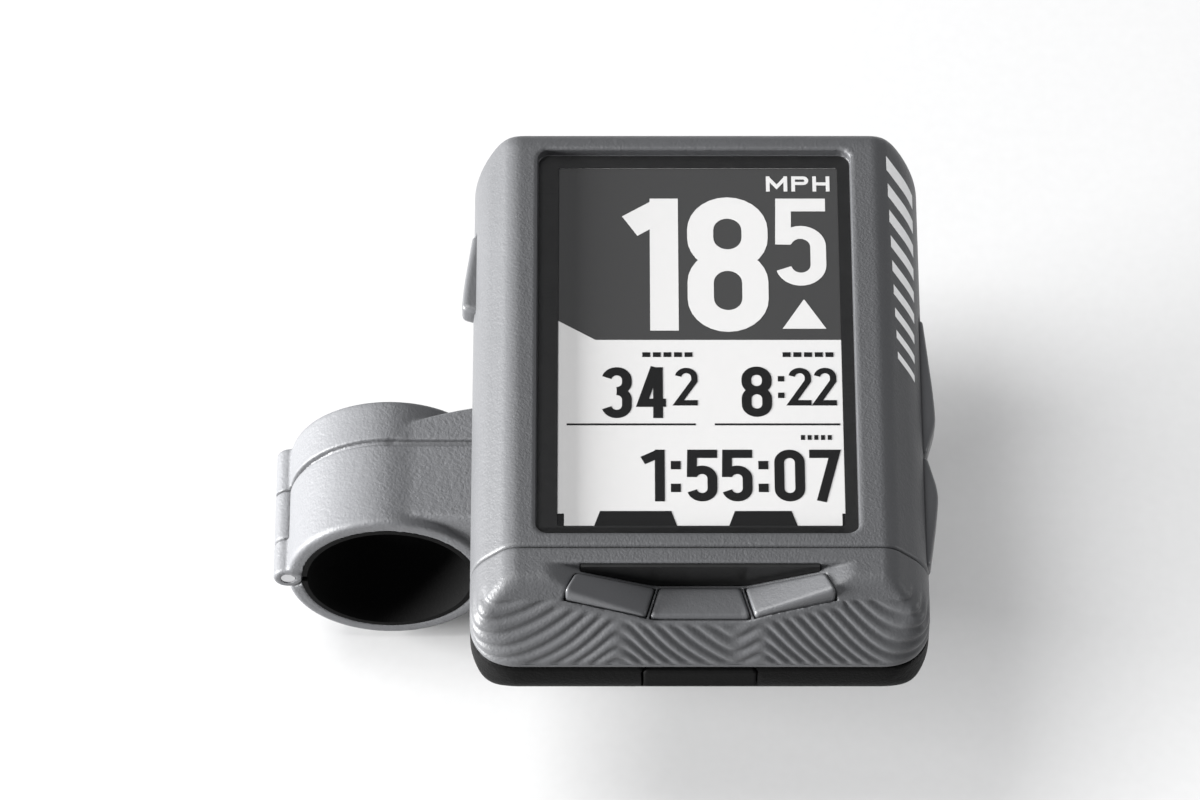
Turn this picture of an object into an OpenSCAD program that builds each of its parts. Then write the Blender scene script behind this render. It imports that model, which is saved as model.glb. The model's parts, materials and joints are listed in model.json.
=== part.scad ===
// Cycling computer on a hinged bar clamp with a quarter-turn socket.
// Frame: origin on the bar's axis at the middle of the clamp, +Y forwards along the bar, +Z up,
// +X from the bar towards the computer. Millimetres.

/* [Computer body] */
// Width across the side walls
body_w = 60; // [59:0.5:63]
// Length from the rider's end to the front end
body_l = 80; // [79:0.5:84]
// Thickness from the back to the display face
body_t = 18; // [17.8:0.1:19]
// Radius of the four upright corners
corner_r = 6.5; // [5:0.5:8]
// Thickness of the housing walls
wall = 1.8; // [1.7:0.1:2]

/* [Display] */
// Visible width of the liquid crystal
lcd_w = 37.6; // [36:0.2:38]
// Visible height of the liquid crystal
lcd_h = 57.6; // [56:0.2:58]
// Width of the window
window_w = 42.2; // [41.8:0.1:43]
// Height of the window
window_h = 61.6; // [61:0.1:62]

/* [Buttons] */
// How far a side button goes in
button_travel = 0.7; // [0.4:0.1:0.7]
// How far a chin key goes down
key_travel = 0.6; // [0.3:0.1:0.6]
// Height of a side button's cap
button_h = 3.4; // [2.6:0.2:3.4]
// How far a side button stands out at its peak
button_out = 1.6; // [1:0.1:2]

/* [Bar clamp] */
// Outside diameter of the bar
bar_d = 22.2; // [21.5:0.1:22.2]
// Width of the clamp along the bar
clamp_w = 19.9; // [18:0.1:22]
// Thickness of the rubber liners
liner_t = 0.7; // [0.5:0.1:0.8]
// Thickness of the clamp's band
band_t = 2.0; // [1.8:0.1:2.2]

/* [Quarter-turn socket] */
// Radius of the puck's neck
neck_r = 12; // [11:0.1:12]
// Running clearance round the neck
neck_gap = 0.08; // [0.05:0.01:0.1]
// Distance from the bar's axis to the puck's axis
arm_reach = 41.5; // [41:0.5:46]

/* [Hidden] */
$fn = 64;

// Colours
dark_shell = [0.19, 0.19, 0.21];
black = [0.04, 0.04, 0.05];
key_grey = [0.30, 0.30, 0.32];
clamp_grey = [0.36, 0.36, 0.38];
steel = [0.75, 0.75, 0.77];

root2 = sqrt(2);
gap = 0.15;                          // clearance round a moving cap in its hole
split_z = 7;                         // where the front housing meets the rear shell
seam_y = -body_l / 2 + 12.1;         // where the bezel meets the chin cap
ridge_y = -body_l / 2 + 7;           // where the face turns down into the chin
end_z = 8.3;                         // height at which the chin's slope meets the end wall
bevel_z = body_t - 5;                // where the side walls turn into the bevels
edge = 2.5;                          // chamfer round the back
front_edge = 1.6;                    // chamfer along the front end of the face
ceiling_z = body_t - 2.4;            // underside of the display face
inner_w = body_w - 2 * wall;

// Placing of the computer over the clamp
comp_y = 2.25;
comp_z = 14.6;
band_r = bar_d / 2 + liner_t + band_t;
bore_r = bar_d / 2 + liner_t;

module on_computer() {
    translate([arm_reach, comp_y, comp_z]) children();
}

// ---- shapes that repeat ----

// A rectangle with true round corners, centred
module rounded(w, l, r) {
    square([w - 2 * r, l], center = true);
    square([w, l - 2 * r], center = true);
    for (x = [-1, 1], y = [-1, 1])
        translate([x * (w / 2 - r), y * (l / 2 - r)]) circle(r = r);
}

module slab(w, l, r, z0, z1) {
    translate([0, 0, z0]) linear_extrude(z1 - z0) rounded(w, l, r);
}

module ring_slab(w, l, r, inset0, inset1, z0, z1) {
    translate([0, 0, z0]) linear_extrude(z1 - z0) difference() {
        rounded(w - 2 * inset0, l - 2 * inset0, r - inset0);
        rounded(w - 2 * inset1, l - 2 * inset1, r - inset1);
    }
}

module box(x0, x1, y0, y1, z0, z1) {
    translate([x0, y0, z0]) cube([x1 - x0, y1 - y0, z1 - z0]);
}

module post(x, y, r, z0, z1) {
    translate([x, y, z0]) cylinder(r = r, h = z1 - z0);
}

// The chin's slope is the line chin_n . (y, z) = chin_c
chin_len = norm([-body_l / 2 - ridge_y, end_z - body_t]);
chin_n = [(end_z - body_t) / chin_len, (body_l / 2 + ridge_y) / chin_len];
chin_c = chin_n[0] * ridge_y + chin_n[1] * body_t;
function chin_y(z, e) = (chin_c - e - chin_n[1] * z) / chin_n[0];
function chin_z(y) = (chin_c - chin_n[0] * y) / chin_n[1];

far = 10;                            // how far the cutting profiles run past the body

// Outline across the body, which gives its bevels and back chamfers. e insets it
module side_profile(e) {
    low = body_w / 2 - edge - e * root2;
    high = body_w / 2 + bevel_z - e * root2;
    mid = [(low + high) / 2, (high - low) / 2];
    half = [[low - far, -far], mid, [high - body_t - far, body_t + far]];
    polygon(concat(half, [for (i = [2 : -1 : 0]) [-half[i][0], half[i][1]]]));
}

// Outline along the body, with the chin at -Y
module end_profile(e) {
    low = body_l / 2 - edge - e * root2;
    high = body_l / 2 + body_t - front_edge - e * root2;
    z_meet = (chin_c - e + chin_n[0] * low) / (chin_n[1] - chin_n[0]);
    polygon([[low - far, -far], [(low + high) / 2, (high - low) / 2], [high - body_t - far, body_t + far],
             [chin_y(body_t + far, e), body_t + far], [-low - z_meet, z_meet], [-low + far, -far]]);
}

// The housing's outer form between two heights, inset by e
module pillow(e, z0, z1) {
    intersection() {
        slab(body_w - 2 * e, body_l - 2 * e, corner_r - e, z0, z1);
        rotate([90, 0, 0]) translate([0, 0, -body_l]) linear_extrude(2 * body_l) side_profile(e);
        rotate([90, 0, 90]) translate([0, 0, -body_w]) linear_extrude(2 * body_w) end_profile(e);
    }
}

// ---- housing ----

window_c = [-0.3, ridge_y + 38.1];
lcd_c = [0.2, ridge_y + 38];
recess_z = body_t - 1.5;
front_screw_at = [[-24, 33.5], [24, 33.5]];
rider_screw_at = [[-22.4, -33], [22.4, -33]];
case_screw_at = concat(front_screw_at, rider_screw_at);

// The two buttons on the right and the one on the left: low end, high end and peak along Y
upper_at = [-9.0, 12.4, -3.0];
lower_at = [-26.6, -9.6, -15.8];
power_at = [13.6, 26.2, 15.2];
button_z = 10;

module button_hole(at) {
    box(body_w / 2 - wall - 0.5, body_w / 2 + 2, at[0] - gap, at[1] + gap,
        button_z - button_h / 2 - gap, button_z + button_h / 2 + gap);
}

module seal_groove() {
    ring_slab(body_w, body_l, corner_r, 0.5, 1.2, split_z - 0.01, split_z + 0.7);
}

module front_bezel() color(dark_shell) on_computer() difference() {
    union() {
        difference() {
            intersection() {
                pillow(0, split_z, body_t);
                box(-body_w, body_w, seam_y, body_l, 0, 2 * body_t);
            }
            pillow(wall, split_z - 1, ceiling_z);
        }
        intersection() {
            pillow(wall / 2, split_z, ceiling_z + 0.5);
            for (at = front_screw_at) post(at[0], at[1], 2.6, split_z, 14.2);
        }
    }
    translate([window_c[0], window_c[1], 0]) slab(window_w, window_h, 1.6, recess_z, body_t + 1);
    translate([lcd_c[0], lcd_c[1], 0]) slab(lcd_w + 2.4, lcd_h + 2.4, 0.6, ceiling_z - 1, recess_z + 1);
    for (at = front_screw_at) post(at[0], at[1], 1.03, split_z - 1, 13);
    button_hole(upper_at);
    button_hole(lower_at);
    mirror([1, 0, 0]) button_hole(power_at);
    seal_groove();
}

// The scoop under the display: its floor is level in the middle and rises to the face at both sides
scoop_y = -body_l / 2 + 9.6;
floor_z = 13.1;
scoop_flat = 6;
scoop_half = 18;
key_drop = 0.5;                      // how far the scoop's floor lies under the keys' tops
key_ceiling_z = 11.2;

module scoop() {
    top = body_t + 1;
    rise = (body_t - key_drop - floor_z) / (scoop_half - scoop_flat);
    reach = scoop_flat + (top - floor_z) / rise;
    translate([0, scoop_y, 0]) rotate([90, 0, 0]) linear_extrude(12)
        polygon([[-reach, top], [-scoop_flat, floor_z], [scoop_flat, floor_z], [reach, top]]);
}

// Outlines of the keys seen from above, from the wall behind them to the chin's slope
key_back_y = scoop_y - 1;
key_front_y = -body_l / 2 + 4.1;
center_pts = [[-6.5, key_front_y], [6.5, key_front_y], [5.3, key_back_y], [-5.3, key_back_y]];
side_pts = [[7.1, key_front_y], [17.6, ridge_y - 0.2], [16.2, key_back_y], [5.9, key_back_y]];

// The same outline, larger by g on every side. Its corners run anticlockwise, as seen from above
function unit(v) = v / norm(v);
function across(a, b) = let (d = unit(b - a)) [d[1], -d[0]];
function cross2(u, v) = u[0] * v[1] - u[1] * v[0];
function meet(p, u, q, v) = p + cross2(q - p, v) / cross2(u, v) * u;
function grow(p, g) = let (n = len(p)) [for (i = [0 : n - 1])
    let (a = p[(i + n - 1) % n], b = p[i], c = p[(i + 1) % n])
    meet(b + g * across(a, b), unit(b - a), b + g * across(b, c), unit(c - b))];

module key_prism(points, g, z0, z1) {
    translate([0, 0, z0]) linear_extrude(z1 - z0) polygon(grow(points, g));
}

module chin_cap() color(dark_shell) on_computer() difference() {
    union() {
        difference() {
            intersection() {
                pillow(0, split_z, body_t);
                box(-body_w, body_w, -body_l, seam_y, 0, 2 * body_t);
            }
            pillow(wall, split_z - 1, key_ceiling_z);
        }
        intersection() {
            pillow(wall / 2, split_z, ceiling_z);
            for (at = rider_screw_at) post(at[0], at[1], 2.6, split_z, key_ceiling_z + 0.5);
        }
    }
    scoop();
    key_prism(center_pts, gap, key_ceiling_z - 1, body_t + 1);
    key_prism(side_pts, gap, key_ceiling_z - 1, body_t + 1);
    mirror([1, 0, 0]) key_prism(side_pts, gap, key_ceiling_z - 1, body_t + 1);
    for (at = rider_screw_at) post(at[0], at[1], 1.03, split_z - 1, key_ceiling_z);
    seal_groove();
    key_frame_block();
}

// The black back wall of the scoop, let into the chin cap behind the keys
frame_t = 0.8;
module key_frame_block() {
    translate([0, scoop_y + 0.4, 0]) rotate([90, 0, 0]) linear_extrude(frame_t)
        polygon([[-15.5, body_t - 0.4], [-15.5, 16.4], [-6.6, 12.6],
                 [6.6, 12.6], [15.5, 16.4], [15.5, body_t - 0.4]]);
}

module key_frame() color(black) on_computer() key_frame_block();

// A sheet that fills the window's recess between two heights
module window_sheet(z0, z1) {
    translate([window_c[0], window_c[1], 0]) slab(window_w - 0.1, window_h - 0.1, 1.55, z0, z1);
}

mask_t = 0.1;                        // the mask is printed on the window's underside
module display_window() color([0.75, 0.8, 0.82, 0.25]) on_computer()
    window_sheet(recess_z + mask_t, body_t - 0.15);

module window_mask() color(black) on_computer() difference() {
    window_sheet(recess_z, recess_z + mask_t);
    translate([lcd_c[0], lcd_c[1], 0]) slab(lcd_w, lcd_h, 0.3, recess_z - 1, recess_z + 1);
}

panel_z = [14.9, recess_z - 0.1];
module lcd_panel() color([0.72, 0.74, 0.72]) on_computer()
    translate([lcd_c[0], lcd_c[1], 0]) slab(lcd_w + 2, lcd_h + 2, 0.4, panel_z[0], panel_z[1]);

module light_guide() color([0.93, 0.94, 0.95]) on_computer() {
    translate([lcd_c[0], lcd_c[1], 0]) slab(lcd_w + 2, lcd_h + 2, 0.4, 13.9, panel_z[0]);
}

carrier_w = 46.4;
carrier_z0 = 13.4;
module lcd_carrier() color([0.85, 0.85, 0.83]) on_computer() difference() {
    translate([0, (seam_y + body_l / 2 - 2.4) / 2 + 0.2, 0])
        slab(carrier_w, body_l / 2 - 2.4 - seam_y - 0.8, 2, carrier_z0, ceiling_z - 0.1);
    translate([lcd_c[0], lcd_c[1], 0]) slab(lcd_w + 2.2, lcd_h + 2.2, 0.5, 13.9, body_t);
    box(-7, 7, seam_y - 1, lcd_c[1] - lcd_h / 2, 14.5, body_t);
    for (at = front_screw_at) post(at[0], at[1], 2.9, 0, body_t);
}

// ---- board and what is on it ----

board_z = [6.4, 7.4];
flex_w = 11;
flex_t = 0.3;

// The ribbon leaves the panel's end, drops behind the seam and turns back over its connector
module lcd_flex() color([0.62, 0.38, 0.12]) on_computer() {
    y_panel = lcd_c[1] - lcd_h / 2 - 1;
    y_drop = seam_y + 0.2;
    z_top = 15.1;
    z_low = board_z[1] + 0.9;
    translate([-flex_w / 2, 0, 0]) rotate([90, 0, 90]) linear_extrude(flex_w)
        polygon([[y_panel, z_top], [y_panel, z_top + flex_t], [y_drop, z_top + flex_t], [y_drop, z_low],
                 [y_drop + 2.6, z_low], [y_drop + 2.6, z_low + flex_t], [y_drop + flex_t, z_low + flex_t],
                 [y_drop + flex_t, z_top]]);
}

module main_board() color([0.05, 0.25, 0.13]) on_computer() difference() {
    slab(inner_w - 3.4, body_l - 7, 3, board_z[0], board_z[1]);
    for (at = case_screw_at) post(at[0], at[1], 3.1, 0, body_t);
    box(-4.6, 4.6, -body_l, -body_l / 2 + 2.6, 0, body_t);
}

// Each chip: centre x and y, width, length and height, first those under the board
under_chips = [[-17, -9, 9, 9, 1.2], [-17, 4, 8, 6, 1], [-16.5, -20, 5, 5, 0.9], [15, -19, 6, 4, 0.9],
               [4, 30, 4, 3, 1.6], [-4, -22, 3, 6, 1.1]];
over_chips = [[-9.8, 31, 3.2, 2.5, 1], [11, 28, 4, 4, 0.9], [12.5, 21, 3, 5, 1.1]];
module chip(c, z0) {
    box(c[0] - c[2] / 2, c[0] + c[2] / 2, c[1] - c[3] / 2, c[1] + c[3] / 2, z0, z0 + c[4]);
}

module board_chips() color([0.09, 0.09, 0.1]) on_computer() {
    for (c = under_chips) chip(c, board_z[0] - c[4]);
    for (c = over_chips) chip(c, board_z[1]);
    box(-6, 6, seam_y + 0.75, seam_y + 3.2, board_z[1], board_z[1] + 0.9);
}

module radio_shield() color([0.8, 0.8, 0.78]) on_computer() difference() {
    translate([17, 6, 0]) slab(14, 18, 1, board_z[0] - 2.2, board_z[0]);
    translate([17, 6, 0]) slab(13.4, 17.4, 0.7, board_z[0] - 1.9, board_z[0] + 1);
}

module gps_antenna() color([0.80, 0.76, 0.66]) on_computer() {
    translate([0, 26.5, 0]) slab(15, 15, 0.8, board_z[1], board_z[1] + 3.6);
}

module buzzer() color([0.72, 0.6, 0.32]) on_computer() difference() {
    post(-15, 20, 6, board_z[0] - 2.2, board_z[0]);
    post(-15, 20, 1, board_z[0] - 3, board_z[0] - 1.4);
}

// Side-push switches at the middle of each button
switch_x = 24.2;
plunger = 0.65;
function middle(at) = (at[0] + at[1]) / 2;
module one_side_switch(y) {
    box(switch_x - 3, switch_x, y - 2.4, y + 2.4, board_z[1], board_z[1] + 3.2);
    box(switch_x, switch_x + plunger, y - 0.8, y + 0.8, button_z - 0.8, button_z + 0.4);
}
module side_switches() color([0.7, 0.7, 0.7]) on_computer() {
    one_side_switch(middle(upper_at));
    one_side_switch(middle(lower_at));
    mirror([1, 0, 0]) one_side_switch(middle(power_at));
}

key_x = 11.7;                        // where each side key presses its switch
key_y = -body_l / 2 + 6.7;
switch_top_z = board_z[1] + 1.8;
module key_switches() color([0.7, 0.7, 0.7]) on_computer() for (x = [-key_x, 0, key_x]) {
    box(x - 2.2, x + 2.2, key_y - 1.6, key_y + 1.6, board_z[1], switch_top_z - 0.5);
    post(x, key_y, 0.9, switch_top_z - 0.5, switch_top_z);
}

battery_l = 40;
battery_y = -4.4;
module battery() color([0.78, 0.79, 0.82]) on_computer()
    translate([0, battery_y, 0]) slab(36, battery_l, 1.5, 8.6, 13.1);

module battery_pad() color([0.12, 0.12, 0.12]) on_computer()
    translate([0, battery_y, 0]) slab(30, 34, 1, board_z[1], 8.6);

usb_z = [3.7, 6.4];
module usb_socket() color(steel) on_computer() difference() {
    box(-3.9, 3.9, -body_l / 2 + wall + 0.1, -body_l / 2 + 7.4, usb_z[0], usb_z[1]);
    box(-3.5, 3.5, -body_l / 2, -body_l / 2 + 6.6, usb_z[0] + 0.4, usb_z[1] - 0.4);
}

module housing_seal() color([0.1, 0.1, 0.11]) on_computer()
    ring_slab(body_w, body_l, corner_r, 0.5, 1.2, split_z, split_z + 0.7);

// ---- rear shell, puck and port ----

flap_half = 7.5;
flap_z = [2.7, 6.7];
flap_t = 0.9;
flap_axis = [-body_l / 2 + flap_t / 2, 3.4];
vent_at = [17, -24];
puck_screw_r = 8;

module rear_shell() color(black) on_computer() difference() {
    union() {
        difference() {
            pillow(0, 0, split_z);
            pillow(wall, wall, split_z + 1);
        }
        intersection() {
            pillow(wall / 2, 0.5, split_z + 1);
            for (at = case_screw_at) post(at[0], at[1], 3, 0.6, split_z);
        }
        for (a = [45 : 90 : 315]) post(puck_screw_r * cos(a), puck_screw_r * sin(a), 2.2, 1, 5.2);
    }
    for (at = case_screw_at) {
        post(at[0], at[1], 1.15, -1, split_z + 1);
        post(at[0], at[1], 2.1, -1, 2.4);
    }
    for (a = [45 : 90 : 315]) post(puck_screw_r * cos(a), puck_screw_r * sin(a), 1.03, -1, 4.4);
    for (x = [-1.8, 0, 1.8]) post(-15 + x, 20, 0.6, -1, wall + 1);
    post(vent_at[0], vent_at[1], 0.7, -1, wall + 1);
    box(-flap_half, flap_half, -body_l, -body_l / 2 + flap_t + 0.1, flap_z[0], flap_z[1]);
    box(-4.2, 4.2, -body_l, -body_l / 2 + wall + 1, usb_z[0] - 0.3, usb_z[1] + 0.1);
}

module vent_membrane() color([0.9, 0.9, 0.9]) on_computer() post(vent_at[0], vent_at[1], 3, wall, wall + 0.3);

module case_screws() color(steel) on_computer() for (at = case_screw_at) difference() {
    union() {
        post(at[0], at[1], 1.0, 1, 11);
        post(at[0], at[1], 1.95, 0.7, 2.4);
    }
    translate([at[0], at[1], 0.2]) cylinder(r = 0.9, h = 1.4, $fn = 6);
}

module port_cover() color([0.07, 0.07, 0.08]) on_computer() {
    outer_y = -body_l / 2;
    box(-flap_half + gap, flap_half - gap, outer_y, outer_y + flap_t, flap_axis[1], flap_z[1] - gap);
    translate([-flap_half + gap, flap_axis[0], flap_axis[1]]) rotate([0, 90, 0])
        cylinder(r = flap_t / 2, h = 2 * (flap_half - gap));
    box(-3.4, 3.4, outer_y + flap_t, outer_y + 1.7, 4.2, 5.8);
}

// The puck is a neck with two lugs. It stands under the computer's back
puck_h = 6;
lug_t = 1.9;
lug_r = 14.5;
lug_angle = 60;

// A slice of a disc between two angles
module sector(r, a0, a1) {
    steps = 8;
    arc = [for (i = [0 : steps]) let (a = a0 + (a1 - a0) * i / steps) 1.3 * r * [cos(a), sin(a)]];
    polygon(concat([[0, 0]], arc));
}

module lug(r0, r1, a, width, z0, z1) {
    translate([0, 0, z0]) linear_extrude(z1 - z0) intersection() {
        difference() {
            circle(r = r1);
            circle(r = r0);
        }
        sector(r1, a - width / 2, a + width / 2);
    }
}

module twist_puck() color(black) on_computer() difference() {
    union() {
        post(0, 0, neck_r, -puck_h, 0);
        for (a = [90, 270]) lug(neck_r - 0.5, lug_r, a, lug_angle, -puck_h, -puck_h + lug_t);
    }
    for (a = [45 : 90 : 315]) {
        post(puck_screw_r * cos(a), puck_screw_r * sin(a), 1.15, -puck_h - 1, 1);
        post(puck_screw_r * cos(a), puck_screw_r * sin(a), 2.1, -puck_h - 1, -puck_h + 2.4);
    }
}

module puck_screws() color(steel) on_computer() for (a = [45 : 90 : 315])
    translate([puck_screw_r * cos(a), puck_screw_r * sin(a), 0]) difference() {
        union() {
            post(0, 0, 1.0, -4, 4.2);
            post(0, 0, 1.95, -puck_h + 0.5, -puck_h + 2.4);
        }
        translate([0, 0, -puck_h - 0.2]) cylinder(r = 0.9, h = 1.6, $fn = 6);
    }

// ---- keys and side buttons ----

key_top_z = floor_z + key_drop;
key_flange_z = [key_ceiling_z - 0.8, key_ceiling_z - 0.1];
key_stem_z = switch_top_z + key_travel + 0.1;

// Keeps a key's top under the scoop's form: level in the middle, or rising towards the side
module key_top_cut(side) {
    rise = side ? (body_t - key_top_z) / (scoop_half - scoop_flat) : 0;
    low = side ? 0 : -30;
    high = 30;
    rotate([90, 0, 0]) linear_extrude(body_l)
        polygon([[low, 0], [high, 0], [high, key_top_z + rise * (high - scoop_flat)],
                 [low, key_top_z + rise * (low - scoop_flat)]]);
}

// A key with its flange, which stops it at the cap's underside, and the stem over its switch
module key(points, side, x, flange_half) {
    intersection() {
        key_prism(points, 0, key_ceiling_z - 0.2, body_t - 0.05);
        key_top_cut(side);
        rotate([90, 0, 90]) translate([0, 0, -body_w]) linear_extrude(2 * body_w) end_profile(0);
    }
    box(x - flange_half, x + flange_half, key_y - 1.4, key_y + 2.5, key_flange_z[0], key_flange_z[1]);
    box(x - 1.2, x + 1.2, key_y - 1.2, key_y + 1.2, key_stem_z, key_flange_z[0]);
}

module center_key() color(key_grey) on_computer() key(center_pts, false, 0, 5.2);
module right_key() color(key_grey) on_computer() key(side_pts, true, key_x, 4.4);
module left_key() color(key_grey) on_computer() mirror([1, 0, 0]) key(side_pts, true, key_x, 4.4);

module side_button(at) {
    x_wall = body_w / 2;
    x_in = x_wall - wall - 0.2;
    z0 = button_z - button_h / 2;
    translate([0, 0, z0]) linear_extrude(button_h)
        polygon([[x_in, at[0]], [x_wall + 0.25, at[0]], [x_wall + button_out, at[2] - 0.9],
                 [x_wall + button_out, at[2] + 0.9], [x_wall + 0.25, at[1]], [x_in, at[1]]]);
    box(x_in - 1.2, x_in, at[0] + 0.3, at[1] - 0.3, z0 - 0.7, z0 + button_h + 0.6);
    box(switch_x + plunger + button_travel + 0.05, x_in - 1.2, middle(at) - 1.4, middle(at) + 1.4,
        button_z - 0.9, button_z + 0.5);
}

module upper_button() color(key_grey) on_computer() side_button(upper_at);
module lower_button() color(key_grey) on_computer() side_button(lower_at);
module power_button() color(key_grey) on_computer() mirror([1, 0, 0]) side_button(power_at);

// ---- socket ----

socket_r = 18.4;
cavity_r = lug_r + 0.3;
flange_z = [comp_z - puck_h + lug_t + 0.15, 13.6];
cup_floor_z = [5.8, 7.6];
notch_angle = lug_angle + 6;
socket_screw_r = 16.5;
socket_screw_at = [45, 135, 225, 315];

module at_socket() {
    translate([arm_reach, comp_y, 0]) children();
}

module socket_ring() color(black) at_socket() difference() {
    post(0, 0, socket_r, flange_z[0], flange_z[1]);
    post(0, 0, neck_r + neck_gap, 0, 20);
    for (a = [0, 180]) lug(neck_r - 1, cavity_r, a, notch_angle, 0, 20);
    for (a = socket_screw_at) {
        post(socket_screw_r * cos(a), socket_screw_r * sin(a), 1.1, 0, 20);
        post(socket_screw_r * cos(a), socket_screw_r * sin(a), 1.7, flange_z[1] - 1.2, 20);
    }
}

module socket_screws() color(steel) at_socket() for (a = socket_screw_at)
    translate([socket_screw_r * cos(a), socket_screw_r * sin(a), 0]) difference() {
        union() {
            post(0, 0, 0.95, cup_floor_z[1], flange_z[1] - 0.6);
            post(0, 0, 1.6, flange_z[1] - 1.2, flange_z[1] - 0.1);
        }
        translate([0, 0, flange_z[1] - 0.8]) cylinder(r = 0.8, h = 1, $fn = 6);
    }

module detent_spring() color(steel) at_socket() {
    box(-10, 10, -2.5, 2.5, cup_floor_z[1], cup_floor_z[1] + 0.4);
    for (x = [-8, 8]) intersection() {
        translate([x, 2.5, cup_floor_z[1] - 0.75]) rotate([90, 0, 0]) cylinder(r = 1.6, h = 5);
        box(-12, 12, -3, 3, cup_floor_z[1] + 0.2, 20);
    }
}

// ---- clamp ----

pin_x = -(bore_r + 1.9);
pin_r = 0.95;
knuckle_r = 2;
knuckle_low = -4.8;                  // the jaw's knuckle lies between these two places along the bar
knuckle_high = 3.2;
half_gap = 0.6;
groove_y = 3.2;
screw_x = 17.6;
ear_x = 23;
screw_r = 1.98;
nut_z = [8.2, 11.4];
arm_top = 13.6;
arm_low = 7.6;

module along_bar(x, z, r, y0, y1) {
    translate([x, y1, z]) rotate([90, 0, 0]) cylinder(r = r, h = y1 - y0);
}

module band(up) {
    z0 = up > 0 ? half_gap : -40;
    intersection() {
        difference() {
            along_bar(0, 0, band_r, -clamp_w / 2, clamp_w / 2);
            along_bar(0, 0, band_r + 1, groove_y - 0.45, groove_y + 0.45);
        }
        box(-40, 40, -clamp_w, clamp_w, z0, z0 + 40 - half_gap);
    }
    intersection() {
        along_bar(0, 0, band_r - 0.8, -clamp_w / 2, clamp_w / 2);
        box(-40, 40, -clamp_w, clamp_w, z0, z0 + 40 - half_gap);
    }
}

arm_plan = [[1, -clamp_w / 2], [12, -clamp_w / 2], [30, comp_y - 14], [30, comp_y + 14], [12, clamp_w / 2],
            [1, clamp_w / 2]];

module mount_arm() color(clamp_grey) difference() {
    union() {
        band(1);
        translate([0, 0, arm_low]) linear_extrude(arm_top - arm_low) polygon(arm_plan);
        box(10, ear_x, -6, 6, half_gap, arm_top);
        for (s = [[-clamp_w / 2, knuckle_low], [knuckle_high, clamp_w / 2]])
            along_bar(pin_x, 0, knuckle_r, s[0], s[1]);
        at_socket() post(0, 0, socket_r, cup_floor_z[0], flange_z[0]);
    }
    along_bar(0, 0, bore_r, -clamp_w, clamp_w);
    along_bar(pin_x, 0, pin_r + 0.02, -clamp_w, clamp_w);
    along_bar(pin_x, 0, knuckle_r + 0.2, knuckle_low - 0.001, knuckle_high + 0.001);
    at_socket() post(0, 0, cavity_r, cup_floor_z[1], 20);
    at_socket() post(0, 0, socket_r + 0.1, flange_z[0], 20);
    at_socket() for (a = socket_screw_at)
        post(socket_screw_r * cos(a), socket_screw_r * sin(a), 1.0, cup_floor_z[1] - 0.5, 20);
    post(screw_x, 0, screw_r + 0.2, -1, 20);
    box(screw_x - 3.6, screw_x + 3.6, -3.6, 3.6, nut_z[0], 20);
}

module upper_liner() color(black) liner(1);
module lower_liner() color(black) liner(-1);

module liner(up) {
    z0 = up > 0 ? half_gap : -40;
    difference() {
        intersection() {
            along_bar(0, 0, bore_r, -clamp_w / 2, clamp_w / 2);
            box(-40, 40, -clamp_w, clamp_w, z0, z0 + 40 - half_gap);
        }
        along_bar(0, 0, bar_d / 2, -clamp_w, clamp_w);
        along_bar(pin_x, 0, knuckle_r + 0.1, -clamp_w, clamp_w);
    }
}

module hinge_pin() color(steel) along_bar(pin_x, 0, pin_r, -clamp_w / 2 + 0.1, clamp_w / 2 - 0.1);

module clamp_nut() color(steel) difference() {
    box(screw_x - 3.5, screw_x + 3.5, -3.5, 3.5, nut_z[0], nut_z[1]);
    post(screw_x, 0, screw_r + 0.06, 0, 20);
}

ear_low_z = -6.5;
slot_run = 0.8;                      // extra length of the ear's hole, so that the jaw can swing

module clamp_jaw() color(clamp_grey) difference() {
    union() {
        band(-1);
        box(10, ear_x, -6, 6, ear_low_z, -half_gap);
        along_bar(pin_x, 0, knuckle_r, knuckle_low + gap, knuckle_high - gap);
    }
    along_bar(0, 0, bore_r, -clamp_w, clamp_w);
    along_bar(pin_x, 0, pin_r + 0.08, -clamp_w, clamp_w);
    along_bar(pin_x, 0, knuckle_r + 0.2, knuckle_high - gap, clamp_w);
    along_bar(pin_x, 0, knuckle_r + 0.2, -clamp_w, knuckle_low + gap);
    post(screw_x, 0, screw_r + 0.22, -20, 0);
    post(screw_x + slot_run, 0, screw_r + 0.22, -20, 0);
    box(screw_x, screw_x + slot_run, -screw_r - 0.22, screw_r + 0.22, -20, 0);
}

head_top_z = ear_low_z - 0.1;
module clamp_screw() color(steel) difference() {
    union() {
        post(screw_x, 0, screw_r, head_top_z, 13.2);
        post(screw_x, 0, 3.5, head_top_z - 4, head_top_z);
    }
    translate([screw_x, 0, head_top_z - 5]) cylinder(r = 1.73, h = 3.2, $fn = 6);
}

front_bezel();
chin_cap();
key_frame();
display_window();
window_mask();
lcd_panel();
light_guide();
lcd_carrier();
lcd_flex();
main_board();
board_chips();
radio_shield();
gps_antenna();
buzzer();
side_switches();
key_switches();
battery();
battery_pad();
usb_socket();
housing_seal();
rear_shell();
case_screws();
vent_membrane();
twist_puck();
puck_screws();
left_key();
center_key();
right_key();
upper_button();
lower_button();
power_button();
port_cover();
mount_arm();
socket_ring();
socket_screws();
detent_spring();
upper_liner();
hinge_pin();
clamp_nut();
clamp_jaw();
lower_liner();
clamp_screw();
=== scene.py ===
# %% [markdown]
# # A cycling computer on its bar clamp
# The object is a moulded housing with a display, three keys in its chin and three buttons on its
# sides. It turns and locks in a socket at the end of a clamp that closes on a bar. The sizes, the
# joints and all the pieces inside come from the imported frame. This script makes the visible
# mouldings, the display's picture and every finish.

# %% Load the frame
import json
import math

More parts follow.
